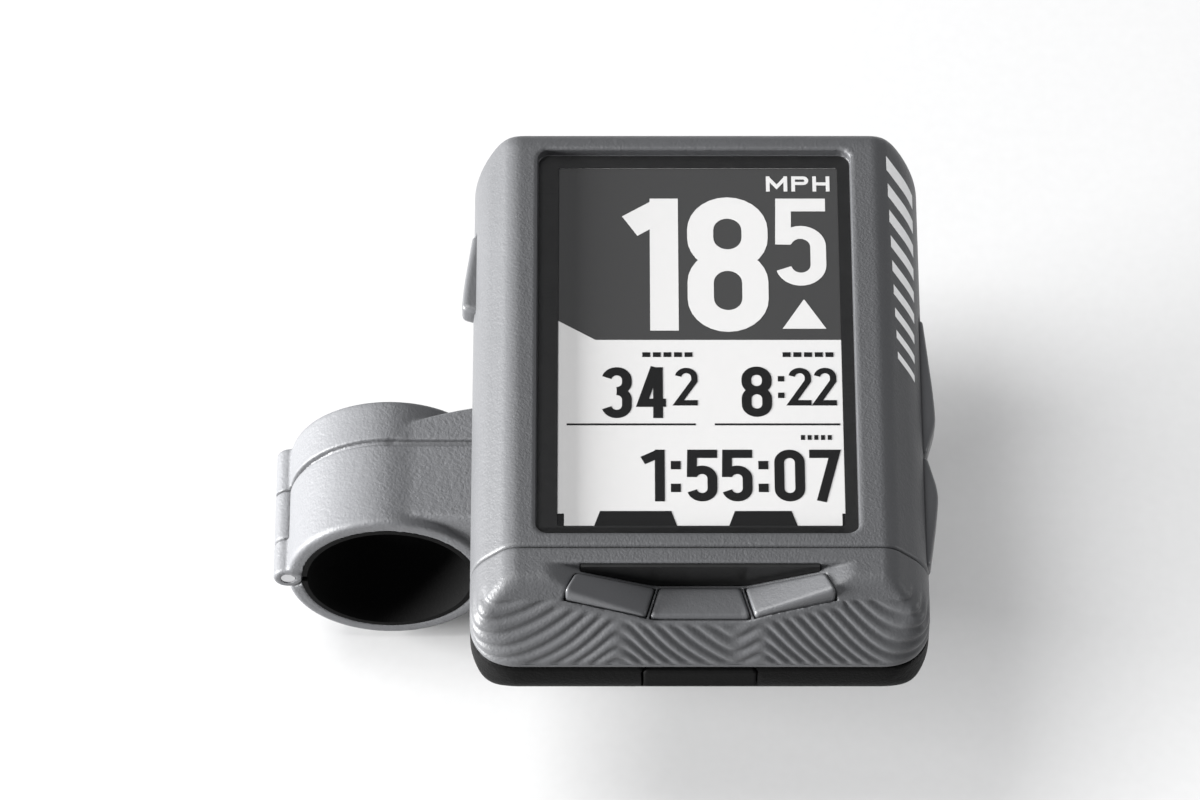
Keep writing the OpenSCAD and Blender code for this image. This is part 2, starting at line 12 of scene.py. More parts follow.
import bpy
import numpy as np
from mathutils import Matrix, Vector


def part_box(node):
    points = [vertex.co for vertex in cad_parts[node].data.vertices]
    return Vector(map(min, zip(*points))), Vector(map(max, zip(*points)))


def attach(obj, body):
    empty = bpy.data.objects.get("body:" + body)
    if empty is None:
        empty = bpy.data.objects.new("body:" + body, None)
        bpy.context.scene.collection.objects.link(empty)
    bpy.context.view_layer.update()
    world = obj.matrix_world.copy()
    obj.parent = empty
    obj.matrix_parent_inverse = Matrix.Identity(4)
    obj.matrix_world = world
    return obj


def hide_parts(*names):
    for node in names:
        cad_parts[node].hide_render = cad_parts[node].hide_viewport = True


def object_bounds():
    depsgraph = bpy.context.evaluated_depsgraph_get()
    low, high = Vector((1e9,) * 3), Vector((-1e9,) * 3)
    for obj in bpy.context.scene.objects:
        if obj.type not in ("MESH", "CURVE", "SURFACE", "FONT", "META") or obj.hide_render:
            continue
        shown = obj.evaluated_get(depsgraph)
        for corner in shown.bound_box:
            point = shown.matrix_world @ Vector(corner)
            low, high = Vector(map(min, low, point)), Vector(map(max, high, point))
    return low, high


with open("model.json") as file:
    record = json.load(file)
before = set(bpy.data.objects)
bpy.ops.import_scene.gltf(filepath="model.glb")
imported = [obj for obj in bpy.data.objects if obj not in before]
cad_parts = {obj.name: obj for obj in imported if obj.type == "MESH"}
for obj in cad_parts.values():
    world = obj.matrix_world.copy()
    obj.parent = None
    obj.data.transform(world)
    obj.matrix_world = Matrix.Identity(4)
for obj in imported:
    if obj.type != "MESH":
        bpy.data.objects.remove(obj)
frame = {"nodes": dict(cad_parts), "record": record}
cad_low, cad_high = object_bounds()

MM = 0.001
ROOT2 = math.sqrt(2)


def box_mm(node):
    """Lowest and highest corner of a node, in millimetres."""
    low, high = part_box(node)
    return np.array(low) / MM, np.array(high) / MM

# %% [markdown]
# ## Where the computer sits
# Every size below is in millimetres. Shapes of the computer are written in its own frame, with x and
# y measured from the middle of its back and z from the back up to the face. The frame's boxes say
# where that is, so nothing has to be fitted by eye.

# %% The computer's own frame
shell_low, shell_high = box_mm("rear_shell")
bezel_low, bezel_high = box_mm("front_bezel")
home = np.array([*(shell_low + shell_high)[:2] / 2, shell_low[2]])
WIDTH, LENGTH = (shell_high - shell_low)[:2]
THICK = bezel_high[2] - home[2]
SPLIT_Z = bezel_low[2] - home[2]
SEAM_Y = bezel_low[1] - home[1]
print("computer", WIDTH, LENGTH, THICK, "at", home)

# %% [markdown]
# ## Solids as distance fields
# A moulded housing has rounded edges everywhere, a hollow inside and holes through its walls. A grid
# of two parameters can't carry holes, so the housings are written as distance fields instead: a
# formula that is negative inside the solid and positive outside. Two solids are joined, cut or
# crossed by taking the smaller or the larger of their distances. If the change from one to the other
# is smoothed, the edge between them gets a radius, just as a mould has.

# %% Joining, crossing and cutting
def common(a, b, soft=0.0):
    """What two solids share: the larger distance, plus a parabola where they are nearly equal."""
    if soft == 0:
        return np.maximum(a, b)
    near = np.maximum(soft - np.abs(a - b), 0) / soft
    return np.maximum(a, b) + near * near * soft / 4


def joined(a, b, soft=0.0):
    """Two solids as one: crossing their outsides and turning the sign gives a fillet between them."""
    return -common(-a, -b, soft)


def cut(a, b, soft=0.0):
    """The first solid without the second."""
    return common(a, -b, soft)

# %% [markdown]
# ## Outlines
# Most of the object's forms are flat outlines pushed up or down: a plate with round corners, a disc,
# a slab and a convex outline of straight edges. Each gives the distance from its edge, so any of them
# can be joined to any other.

# %% Outlines
def plate(x, y, width, length, corner):
    """Distance from a rectangle with round corners: straight inside, round past its corner centres."""
    a = np.abs(x) - width / 2 + corner
    b = np.abs(y) - length / 2 + corner
    return np.hypot(np.maximum(a, 0), np.maximum(b, 0)) + np.minimum(np.maximum(a, b), 0) - corner


def disc(x, y, radius):
    """Distance from a circle."""
    return np.hypot(x, y) - radius


def between(v, low, high):
    """Distance from the slab low < v < high."""
    return np.maximum(low - v, v - high)


def polygon(x, y, corners, soft=0.0):
    """Distance from a convex outline given anticlockwise: the largest distance from its edges."""
    far = None
    for (x0, y0), (x1, y1) in zip(corners, corners[1:] + corners[:1]):
        size = math.hypot(x1 - x0, y1 - y0)
        edge = ((x - x0) * (y1 - y0) - (y - y0) * (x1 - x0)) / size
        far = edge if far is None else common(far, edge, soft)
    return far

# %% [markdown]
# ## From a field to a mesh
# The surface is found by a surface net. The field is sampled on a fine grid, each cell that the
# surface crosses gets one vertex, and each grid edge that it crosses gets one face between the four
# cells round it. Each vertex then slides down the field's slope until the field is zero there, so
# the mesh follows the formula far more closely than the grid's step.

# %% Surface net
def slope(field, p, step=0.004):
    """Gradient of a field at the points p, by central differences along each axis."""
    x, y, z = p.T
    return np.stack([
        field(x + step, y, z) - field(x - step, y, z),
        field(x, y + step, z) - field(x, y - step, z),
        field(x, y, z + step) - field(x, y, z - step),
    ], axis=1) / (2 * step)


def settle(field, p, lift=0.0, rounds=3, reach=0.3):
    """Moves points along the slope until the field equals lift: Newton's rule, a few times."""
    for _ in range(rounds):
        g = slope(field, p)
        size = np.maximum((g * g).sum(axis=1), 0.05)
        move = g * ((field(*p.T) - lift) / size)[:, None]
        length = np.linalg.norm(move, axis=1)
        p = p - move * np.minimum(1, reach / np.maximum(length, 1e-9))[:, None]
    return p


def spaced(low, high, step, fine=()):
    """Grid places a step apart, and half a step inside each fine stretch: equal steps of a count."""
    walk = np.arange(low - 1.37 * step, high + 2 * step, step / 8)
    rate = 1 + sum(((walk > a) & (walk < b)).astype(float) for a, b in fine)
    count = np.cumsum(np.broadcast_to(rate, walk.shape)) / 8
    return np.interp(np.arange(count[0], count[-1]), count, walk)


def surface_net(field, low, high, step, fine=((), (), ())):
    """Vertices and four-sided faces of the surface where field(x, y, z) is zero."""
    axes = [spaced(a, b, step, stretches) for a, b, stretches in zip(low, high, fine)]
    f = field(*np.meshgrid(*axes, indexing="ij"))
    inside = f < 0
    cells = np.array(f.shape) - 1
    corner_steps = [(i, j, k) for i in (0, 1) for j in (0, 1) for k in (0, 1)]
    count = sum(
        inside[i:cells[0] + i, j:cells[1] + j, k:cells[2] + k].astype(np.int8)
        for i, j, k in corner_steps
    )
    at = np.argwhere((count > 0) & (count < 8))
    number = np.full(cells, -1)
    number[tuple(at.T)] = np.arange(len(at))
    value = np.stack([f[tuple((at + c).T)] for c in corner_steps], axis=1)
    total = np.zeros((len(at), 3))
    weight = np.zeros(len(at))
    for a in range(8):
        for axis in range(3):
            b = a | (4 >> axis)
            if a == b:
                continue
            crossed = (value[:, a] < 0) != (value[:, b] < 0)
            share = np.where(crossed, value[:, a] / np.where(crossed, value[:, a] - value[:, b], 1), 0)
            place = at + np.array(corner_steps[a], float)
            place[:, axis] += share
            total += place * crossed[:, None]
            weight += crossed
    index = total / weight[:, None]
    points = np.stack([np.interp(index[:, i], np.arange(len(a)), a) for i, a in enumerate(axes)], axis=1)
    quads = []
    for a, b, c in ((0, 1, 2), (1, 2, 0), (2, 0, 1)):
        first = [slice(1, n) for n in cells]
        second = list(first)
        first[a], second[a] = slice(0, cells[a]), slice(1, cells[a] + 1)
        leaving = inside[tuple(first)] & ~inside[tuple(second)]
        entering = ~inside[tuple(first)] & inside[tuple(second)]
        for crossed, order in ((leaving, (0, 1, 2, 3)), (entering, (3, 2, 1, 0))):
            cell = np.argwhere(crossed)
            cell[:, [b, c]] += 1
            back_b, back_c = np.eye(3, dtype=int)[b], np.eye(3, dtype=int)[c]
            ring = [cell, cell - back_b, cell - back_b - back_c, cell - back_c]
            quads.append(np.stack([number[tuple(ring[i].T)] for i in order], axis=1))
    return settle(field, points, reach=0.6 * step), np.concatenate(quads)

# %% [markdown]
# ## Putting a mesh into the scene
# The object stays at the origin, unturned, and the place is in the vertices, in metres. The faces are
# smooth except over edges sharper than a set angle.

# %% New pieces
new_pieces = []


def put(name, data):
    """A new object with this data, in the scene."""
    made = bpy.data.objects.new(name, data)
    bpy.context.scene.collection.objects.link(made)
    return made


def grid_faces(n):
    """The four-sided faces of a grid of vertex numbers."""
    return np.stack([n[:-1, :-1], n[1:, :-1], n[1:, 1:], n[:-1, 1:]], axis=-1).reshape(-1, 4)


def add_piece(name, points, quads, body, slot, replaces=(), sharp=50):
    """A new piece from points in millimetres and an array of four-sided faces, on a body."""
    mesh = bpy.data.meshes.new(name)
    mesh.vertices.add(len(points))
    mesh.vertices.foreach_set("co", (np.asarray(points) * MM).astype(np.float32).ravel())
    mesh.loops.add(quads.size)
    mesh.loops.foreach_set("vertex_index", quads.astype(np.int32).ravel())
    mesh.polygons.add(len(quads))
    mesh.polygons.foreach_set("loop_start", np.arange(0, quads.size, 4, dtype=np.int32))
    mesh.update(calc_edges=True)
    mesh.validate()
    mesh.shade_smooth()
    mesh.set_sharp_from_angle(angle=math.radians(sharp))
    piece = put(name, mesh)
    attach(piece, body)
    if replaces:
        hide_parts(*replaces)
    new_pieces.append((piece, slot))
    print(name, len(mesh.vertices), "vertices", len(mesh.polygons), "faces")


DRAFT = 1
FRAME_ORIGIN = (0, 0, 0)


def carve(node, field, step, body, slot, origin=home, sharp=50, fine=((), (), ())):
    """The piece that replaces a node, from a distance field in a frame whose origin is given."""
    low, high = box_mm(node)
    points, quads = surface_net(field, low - origin, high - origin, step * DRAFT, fine)
    add_piece(node + "_form", points + origin, quads, body, slot, [node], sharp)

# %% [markdown]
# ## The housing's outer form
# Seen from above the housing is a rectangle with round corners. From the side its face is flat, the
# flanks fall away at 45 degrees, the front end has a small chamfer and the chin slopes down to the
# rider. The whole form is those planes crossed with the outline, and each crossing has the radius
# that the real moulding has: small where the face meets a flank, large where a flank meets a wall.

# %% Pillow form
CORNER = 6.5
BEVEL = 5
FRONT_EDGE, BACK_EDGE = 1.6, 2.5
FLANK_ROUND, FRONT_ROUND, CHIN_ROUND, WALL_ROUND, BACK_ROUND = 1.0, 1.6, 1.2, 2.4, 1.5
RIDGE_Y = -LENGTH / 2 + 7
END_Z = 8.3
WALL = 1.8
CEILING_Z = THICK - 2.4
chin_run = np.array([-LENGTH / 2 - RIDGE_Y, END_Z - THICK])
CHIN_N = np.array([chin_run[1], -chin_run[0]]) / np.linalg.norm(chin_run)
CHIN_C = CHIN_N @ np.array([RIDGE_Y, THICK])
print("chin's slope", CHIN_N, "through", RIDGE_Y, THICK)


def chin_depth(y, z):
    """Distance above the chin's sloping plane."""
    return CHIN_N[0] * y + CHIN_N[1] * z - CHIN_C


def pillow(x, y, z):
    """The housing's outer form: its outline crossed with the planes of its top and of its back."""
    flank = (np.abs(x) - WIDTH / 2 + z - THICK + BEVEL) / ROOT2
    front = (y - LENGTH / 2 + z - THICK + FRONT_EDGE) / ROOT2
    top = common(common(z - THICK, flank, FLANK_ROUND), front, FRONT_ROUND)
    top = common(top, chin_depth(y, z), CHIN_ROUND)
    back = common(-z, (np.abs(x) - WIDTH / 2 + BACK_EDGE - z) / ROOT2, BACK_ROUND)
    back = common(back, (np.abs(y) - LENGTH / 2 + BACK_EDGE - z) / ROOT2, BACK_ROUND)
    return common(common(plate(x, y, WIDTH, LENGTH, CORNER), top, WALL_ROUND), back, CHIN_ROUND)

# %% [markdown]
# ## Places that several pieces share
# The window, the display, the screws and the side buttons each need a hole in one moulding that fits
# a piece of another. Their places are worked out once here, from the frame where it has them, so the
# hole and the piece can't drift apart.

# %% Shared places
window_low, window_high = (v - home for v in box_mm("display_window"))
lcd_low, lcd_high = (v - home for v in box_mm("lcd_panel"))
WINDOW = (window_low + window_high)[:2] / 2
WINDOW_SIZE = (window_high - window_low)[:2] + 0.1
LCD = (lcd_low + lcd_high)[:2] / 2
LCD_SIZE = (lcd_high - lcd_low)[:2] - 2
RECESS_Z = box_mm("window_mask")[0][2] - home[2]
GAP, EDGE_GAP = 0.15, 0.04
SEAM_ROUND, SPLIT_ROUND = 0.5, 0.4
SCREWS = [(-24, 33.5), (24, 33.5), (-22.4, -33), (22.4, -33)]
POST_R, PILOT_R, POST_SINK = 2.6, 1.03, 0.9
BUTTON_Z, BUTTON_H, BUTTON_OUT = 10, 3.4, 1.6
# Each button's low end, high end and peak along the wall, and its side.
BUTTONS = {
    "upper_button": ((-9.0, 12.4, -3.0), 1),
    "lower_button": ((-26.6, -9.6, -15.8), 1),
    "power_button": ((13.6, 26.2, 15.2), -1),
}
print("window", WINDOW, WINDOW_SIZE, "display", LCD, LCD_SIZE)


def button_hole(x, y, z, at):
    """The slot that a side button moves in, through the right wall."""
    tall = between(z, BUTTON_Z - BUTTON_H / 2 - GAP, BUTTON_Z + BUTTON_H / 2 + GAP)
    return common(common(between(y, at[0] - GAP, at[1] + GAP), tall, 0.5), WIDTH / 2 - WALL - 0.5 - x)

# %% [markdown]
# ## The front bezel
# The bezel is the pillow form without the chin, hollow, with a shallow recess for the window, an
# opening for the display and three slots for the side buttons. The edges at the seams are rounded a
# little, so that light catches them as on the real moulding.

# %% Front bezel
POST_TOP_Z, PILOT_TOP_Z = 14.2, 13


def add_posts(solid, form, x, y, z, places, top, pilot_top):
    """A moulding with posts for the case screws, each with its pilot hole."""
    for sx, sy in places:
        post = common(disc(x - sx, y - sy, POST_R), between(z, SPLIT_Z, top))
        solid = joined(solid, common(post, form + POST_SINK))
        solid = cut(solid, common(disc(x - sx, y - sy, PILOT_R), z - pilot_top))
    return solid


def bezel(x, y, z):
    """Pillow form in front of the seam and above the split, less its hollow and openings."""
    form = pillow(x, y, z)
    solid = common(form, SEAM_Y + EDGE_GAP - y, SEAM_ROUND)
    solid = common(solid, SPLIT_Z + EDGE_GAP - z, SPLIT_ROUND)
    solid = cut(solid, common(form + WALL, z - CEILING_Z))
    solid = add_posts(solid, form, x, y, z, SCREWS[:2], POST_TOP_Z, PILOT_TOP_Z)
    recess = common(plate(x - WINDOW[0], y - WINDOW[1], *WINDOW_SIZE, 1.6), RECESS_Z - z)
    solid = cut(solid, recess, 0.35)
    solid = cut(solid, common(plate(x - LCD[0], y - LCD[1], *(LCD_SIZE + 2.4), 0.6), CEILING_Z - 1 - z))
    for at, side in BUTTONS.values():
        solid = cut(solid, button_hole(side * x, y, z, at), 0.3)
    return solid


carve("front_bezel", bezel, 0.33, "computer", "bezel_plastic")

# %% [markdown]
# ## The chin cap and its grip
# The cap closes the rider's end. A scoop under the display gives the keys their valley: level in the
# middle, rising to the face at both sides. The slope below is covered with a flowing relief of fine
# ridges, which gives a wet glove some grip. On the real part the mould cuts it, so here it is in the
# field too: shallow grooves whose phase bends from side to side.

# %% Chin cap
SCOOP_Y = -LENGTH / 2 + 9.6
FLOOR_Z = 13.1
SCOOP_FLAT, SCOOP_HALF = 6, 18
# The hole for the frame that stands behind the keys as the scoop's back wall. The frame's black is painted
# shade for that steep wall under the lip.
FRAME_HALF_X, FRAME_HALF_Y, FRAME_LOW_Z, FRAME_DROP = 15.55, 0.42, 12.5, 0.38
KEY_DROP = 0.5
KEY_CEILING_Z = 11.2
KEY_BACK_Y = SCOOP_Y - 1
KEY_FRONT_Y = -LENGTH / 2 + 4.1
CENTER_KEY = [(-6.5, KEY_FRONT_Y), (6.5, KEY_FRONT_Y), (5.3, KEY_BACK_Y), (-5.3, KEY_BACK_Y)]
SIDE_KEY = [(7.1, KEY_FRONT_Y), (17.6, RIDGE_Y - 1.5), (16.2, KEY_BACK_Y), (5.9, KEY_BACK_Y)]
# How much further a side key's front stands out for each millimetre towards its end.
KEY_PROUD = 0.085
RISE = (THICK - KEY_DROP - FLOOR_Z) / (SCOOP_HALF - SCOOP_FLAT)
# Distance down the chin's slope for each millimetre of height.
SLOPE_STEP = 1.233
GRIP_PITCH, GRIP_DEPTH = 2.1, 0.26
# Where the rows bend: the place across, the change of direction and the width of the bend.
BENDS = [(-25, 0.6, 2.0), (-17, 0.5, 2.0), (-10.5, -2.3, 0.6), (-3, 0.45, 2.0),
         (4.5, 1.5, 0.5), (8.2, -1.9, 0.4), (24, 1.15, 1.5)]


def valley(x, low):
    """Height of the valley's floor across the cap: level in the middle, then a straight rise."""
    return low + RISE * common(np.abs(x) - SCOOP_FLAT, 0 * x, 0.8)


def smooth_step(v, start, width):
    """Zero up to start, one from start + width, and an S curve between."""
    t = np.clip((v - start) / width, 0, 1)
    return t * t * (3 - 2 * t)


def grip(x, y, z):
    """Depth of the grooves: a cosine of the way down the slope plus a bent line across it."""
    down = (THICK - z) * SLOPE_STEP
    across = sum(change * width * np.logaddexp(0, (x - place) / width) for place, change, width in BENDS)
    wave = 0.5 + 0.5 * np.cos(2 * math.pi * (down + across) / GRIP_PITCH)
    keys = np.minimum(polygon(x, y, CENTER_KEY), polygon(np.abs(x), y, SIDE_KEY))
    covered = smooth_step(keys, 0.5, 0.6) * smooth_step(down, 2.6, 0.8) * smooth_step(z, SPLIT_Z + 0.5, 0.7)
    return GRIP_DEPTH * wave ** 1.5 * covered * smooth_step(-y, -RIDGE_Y - 1.5, 3.0)


def chin(x, y, z):
    """Pillow form behind the seam, less its hollow, the scoop, the key holes and the grip's grooves."""
    form = pillow(x, y, z)
    solid = common(form + grip(x, y, z), y - SEAM_Y + EDGE_GAP, SEAM_ROUND)
    solid = common(solid, SPLIT_Z + EDGE_GAP - z, SPLIT_ROUND)
    solid = cut(solid, common(form + WALL, z - KEY_CEILING_Z))
    solid = add_posts(solid, form, x, y, z, SCREWS[2:], KEY_CEILING_Z + 0.5, KEY_CEILING_Z)
    scoop = common(y - SCOOP_Y, valley(x, FLOOR_Z) - z, 0.3)
    solid = cut(solid, scoop, 0.4)
    deep = KEY_CEILING_Z - 1 - z
    solid = cut(solid, common(polygon(x, y, CENTER_KEY) - GAP, deep), 0.2)
    solid = cut(solid, common(polygon(np.abs(x), y, SIDE_KEY) - GAP, deep), 0.2)
    frame_hole = common(between(y, SCOOP_Y - FRAME_HALF_Y, SCOOP_Y + FRAME_HALF_Y),
                        between(z, valley(x, FRAME_LOW_Z), THICK - FRAME_DROP))
    return cut(solid, common(frame_hole, np.abs(x) - FRAME_HALF_X))


carve("chin_cap", chin, 0.19, "computer", "bezel_plastic", sharp=60)

# %% [markdown]
# ## The rear shell
# The black rear shell is the lower part of the same form, hollow, with counterbores for four screws,
# three small sound holes, a vent hole and a pocket for the charging port's cover. It could be modelled
# on its own, but cut from the bezel's field its wall follows the bezel's all the way round.

# %% Rear shell
FLAP_HALF, FLAP_Z, POCKET_DEEP = 7.5, (2.7, 6.7), 1.0
SHAFT_R, HEAD_R, HEAD_TOP_Z = 1.15, 2.1, 2.4
SOUND_X, SOUND_Y, SOUND_R = (-16.8, -15, -13.2), 20, 0.6
VENT_X, VENT_Y, VENT_R = 17, -24, 0.7
PORT_Z, PORT_WIDE, PORT_TALL, PORT_CORNER = 4.95, 8.4, 3.1, 1.2


def rear(x, y, z):
    """Pillow form below the split, less its hollow, the screw holes and the port's pocket."""
    form = pillow(x, y, z)
    solid = common(form, z - SPLIT_Z + EDGE_GAP, SPLIT_ROUND)
    solid = cut(solid, common(form + WALL, WALL - z))
    for sx, sy in SCREWS:
        d = disc(x - sx, y - sy, 0)
        post = common(d - 3, between(z, 0.6, SPLIT_Z - EDGE_GAP))
        solid = joined(solid, common(post, form + POST_SINK))
        solid = cut(cut(solid, d - SHAFT_R), common(d - HEAD_R, z - HEAD_TOP_Z), 0.2)
    for x_hole in SOUND_X:
        solid = cut(solid, common(disc(x - x_hole, y - SOUND_Y, SOUND_R), z - 3), 0.15)
    solid = cut(solid, common(disc(x - VENT_X, y - VENT_Y, VENT_R), z - 3), 0.15)
    deep = y + LENGTH / 2
    pocket = plate(x, z - sum(FLAP_Z) / 2, 2 * FLAP_HALF, FLAP_Z[1] - FLAP_Z[0], 0.4)
    solid = cut(solid, common(pocket, deep - POCKET_DEEP), 0.2)
    port = plate(x, z - PORT_Z, PORT_WIDE, PORT_TALL, PORT_CORNER)
    return cut(solid, common(port, deep - 3), 0.15)


carve("rear_shell", rear, 0.42, "computer", "shell_black")

# %% [markdown]
# ## The keys in the chin
# Each key is a short prism whose top follows the valley, half a millimetre above its floor. The side
# keys' fronts stand out of the slope towards their ends, where a thumb rolls onto them. A flange
# under the cap's ceiling stops a key from falling out, and its stem presses a switch. Boxes with a
# bevel would be simpler. Made from the formulas that cut the cap, the keys keep an even gap to it.

# %% Chin keys
KEY_Y = -LENGTH / 2 + 6.7
STEM_HALF = 1.2
FLANGE_Z = (KEY_CEILING_Z - 0.8, KEY_CEILING_Z - 0.1)
stem_low = box_mm("center_key")[0][2] - home[2]


def key_form(outline, middle, flange_half, x, y, z):
    """A key: its outline under the valley's rise and a front that stands out more towards its end."""
    top = z - valley(x, FLOOR_Z + KEY_DROP)
    front = chin_depth(y, z) - KEY_PROUD * np.maximum(np.abs(x) - SIDE_KEY[0][0], 0)
    cap = common(polygon(x, y, outline, 0.5), common(top, front, 0.6), 0.5)
    cap = common(cap, z - THICK + 0.05, 0.4)
    cap = common(cap, KEY_CEILING_Z - 0.2 - z)
    flange = np.maximum(np.abs(x - middle) - flange_half, between(y, KEY_Y - 1.4, KEY_Y + 2.5))
    flange = common(flange, between(z, *FLANGE_Z), 0.1)
    stem = np.maximum(np.abs(x - middle), np.abs(y - KEY_Y)) - STEM_HALF
    stem = common(stem, between(z, stem_low, FLANGE_Z[0] + 0.1), 0.1)
    return joined(joined(cap, flange, 0.1), stem, 0.1)


# Each key's outline, the middle of its flange, half the flange's width, and its side.
KEYS = {
    "center_key": (CENTER_KEY, 0, 5.2, 1),
    "right_key": (SIDE_KEY, 11.7, 4.4, 1),
    "left_key": (SIDE_KEY, 11.7, 4.4, -1),
}
for key_name, (*shape, side) in KEYS.items():
    carve(key_name, lambda x, y, z: key_form(*shape, side * x, y, z), 0.13, key_name, "key_grey")

# %% [markdown]
# ## The side buttons
# The side buttons are wedges: they rise along their length to a peak, so that a finger finds the
# place to press. One outline serves all three, and the power button is its mirror image. The field is
# mirrored and not the mesh, so the faces still point outwards.

# %% Side buttons
PLUNGER_X = 25.6


def button_form(at, x, y, z):
    """A wedge that stands out of the right wall, rounded, on its flange and plunger."""
    wall = WIDTH / 2
    x_in, x_end, peak = wall - WALL - 0.2, wall + 0.25, wall + BUTTON_OUT
    wedge = polygon(x, y, [(x_in, at[0]), (x_end, at[0]), (peak, at[2] - 0.9), (peak, at[2] + 0.9),
                           (x_end, at[1]), (x_in, at[1])], 0.5)
    cap = common(wedge, np.abs(z - BUTTON_Z) - BUTTON_H / 2, 0.9)
    z_low = BUTTON_Z - BUTTON_H / 2
    flange = common(between(x, x_in - 1.2, x_in + 0.1), between(y, at[0] + 0.3, at[1] - 0.3), 0.2)
    flange = common(flange, between(z, z_low - 0.7, z_low + BUTTON_H + 0.6), 0.2)
    middle = (at[0] + at[1]) / 2
    plunger = np.maximum(np.abs(y - middle) - 1.4, between(z, BUTTON_Z - 0.9, BUTTON_Z + 0.5))
    plunger = np.maximum(plunger, between(x, PLUNGER_X, x_in - 1.1))
    return joined(joined(cap, flange), plunger)


for button_name, (at, side) in BUTTONS.items():
    carve(button_name, lambda x, y, z: button_form(at, side * x, y, z), 0.16, button_name, "key_grey")

# %% [markdown]
# ## The clamp and its arm
# The arm and the upper half of the clamp are one moulding: a half band with a groove, a flat arm that
# widens into the socket's cup, a square ear for the screw and two hinge knuckles. It is a field again,
# because fillets run where the arm meets the band and the cup.

# %% Clamp sizes from the frame
jaw_low, jaw_high = box_mm("clamp_jaw")
ring_low, ring_high = box_mm("socket_ring")
pin_low, pin_high = box_mm("hinge_pin")
BAND_R = -jaw_low[2]
BORE_R = BAND_R - 2.0
BAND_ROUND, GROOVE_HALF, GROOVE_DEEP, GROOVE_ROUND = 0.8, 0.45, 0.8, 0.25
CLAMP_HALF = jaw_high[1]
PIN_X = (pin_low[0] + pin_high[0]) / 2
KNUCKLE_R, KNUCKLES = 2.0, (-4.8, 3.2)
HALF_GAP, GROOVE_Y = 0.6, 3.2
PIN_HOLE_R, JAW_HOLE_R = 0.97, 1.03
SCREW_X, SCREW_HOLE_R, NUT_HALF, NUT_TOP_Z = 17.6, 2.18, 3.6, 8.2
EAR_X, EAR_WIDE, EAR_CORNER, EAR_ROUND = (10, 23), 12, 2.0, 0.8
ARM_LOW, ARM_TOP, ARM_END_X, ARM_SPREAD = 7.6, 13.6, 30, 14
CUP_R = (ring_high[0] - ring_low[0]) / 2
CUP_FLOOR, CUP_IN_R = (5.8, 7.6), 14.8
DISH_R, DISH_HALF, DISH_DEEP = 10.5, 4.2, 0.5
print("clamp", BAND_R, CLAMP_HALF, "pin", PIN_X, "cup", CUP_R)


def half_band(x, y, z, side):
    """Half of the clamp's band, with its groove, on the side of the split that side gives."""
    r = np.hypot(x, z)
    band = common(r - BAND_R, np.abs(y) - CLAMP_HALF, BAND_ROUND)
    band = cut(band, common(np.abs(y - GROOVE_Y) - GROOVE_HALF, BAND_R - GROOVE_DEEP - r), GROOVE_ROUND)
    return common(band, HALF_GAP - side * z, 0.3)


def clamp_ear(x, y, z, low, high):
    """A rounded block beside the band, from low to high, for the screw."""
    outline = plate(x - sum(EAR_X) / 2, y, EAR_X[1] - EAR_X[0], EAR_WIDE, EAR_CORNER)
    return common(outline, between(z, low, high), EAR_ROUND)


def arm(x, y, z):
    """Upper band, arm, ear, knuckles and cup, with fillets between them, less all their holes."""
    band = half_band(x, y, z, 1)
    plan = polygon(x, y, [(1, -CLAMP_HALF), (12, -CLAMP_HALF), (ARM_END_X, home[1] - ARM_SPREAD),
                          (ARM_END_X, home[1] + ARM_SPREAD), (12, CLAMP_HALF), (1, CLAMP_HALF)], 3.0)
    bar = common(plan, between(z, ARM_LOW, ARM_TOP), 0.8)
    ear = clamp_ear(x, y, z, HALF_GAP, ARM_TOP - 2)
    cup = common(disc(x - home[0], y - home[1], CUP_R), between(z, CUP_FLOOR[0], ring_low[2]), 1.0)
    solid = joined(joined(joined(band, bar, 0.25), ear, 1.0), cup, 1.5)
    over = common(np.abs(y - GROOVE_Y) - GROOVE_HALF, np.maximum(ARM_TOP - 0.6 - z, np.abs(x - 8) - 8))
    solid = cut(solid, over, GROOVE_ROUND)
    knuckle = common(disc(x - PIN_X, z, KNUCKLE_R), np.abs(y) - CLAMP_HALF, 0.4)
    solid = joined(solid, knuckle, 0.4)
    solid = cut(solid, disc(x, z, BORE_R))
    solid = cut(solid, disc(x - PIN_X, z, PIN_HOLE_R))
    middle = between(y, *KNUCKLES)
    solid = cut(solid, common(disc(x - PIN_X, z, KNUCKLE_R + 0.2), middle))
    centre = disc(x - home[0], y - home[1], 0)
    solid = cut(solid, common(centre - CUP_IN_R, CUP_FLOOR[1] - z), 0.2)
    dish = common(np.abs(centre - DISH_R) - DISH_HALF, z - CUP_FLOOR[0] - DISH_DEEP)
    solid = cut(solid, dish, 0.4)
    solid = cut(solid, common(centre - CUP_R - 0.1, ring_low[2] - z))
    solid = cut(solid, disc(x - SCREW_X, y, SCREW_HOLE_R), 0.2)
    nut = np.maximum(np.abs(x - SCREW_X), np.abs(y)) - NUT_HALF
    return cut(solid, common(nut, NUT_TOP_Z - z), 0.2)


GROOVE_FINE = ((), ((GROOVE_Y - 0.9, GROOVE_Y + 0.9),), ())
carve("mount_arm", arm, 0.34, "mount", "clamp_grey", FRAME_ORIGIN, fine=GROOVE_FINE)

# %% [markdown]
# ## The jaw
# The jaw is the lower half of the band. It turns on the pin between the arm's two knuckles, and the
# screw pulls its ear up. The screw's hole is a slot, because the ear swings while the screw doesn't.
# A turned copy of the arm would bring the cup with it, so the two share their formulas instead.

# %% Jaw
EAR_LOW_Z, SLOT_R, SLOT_RUN = -6.5, 2.2, 0.8


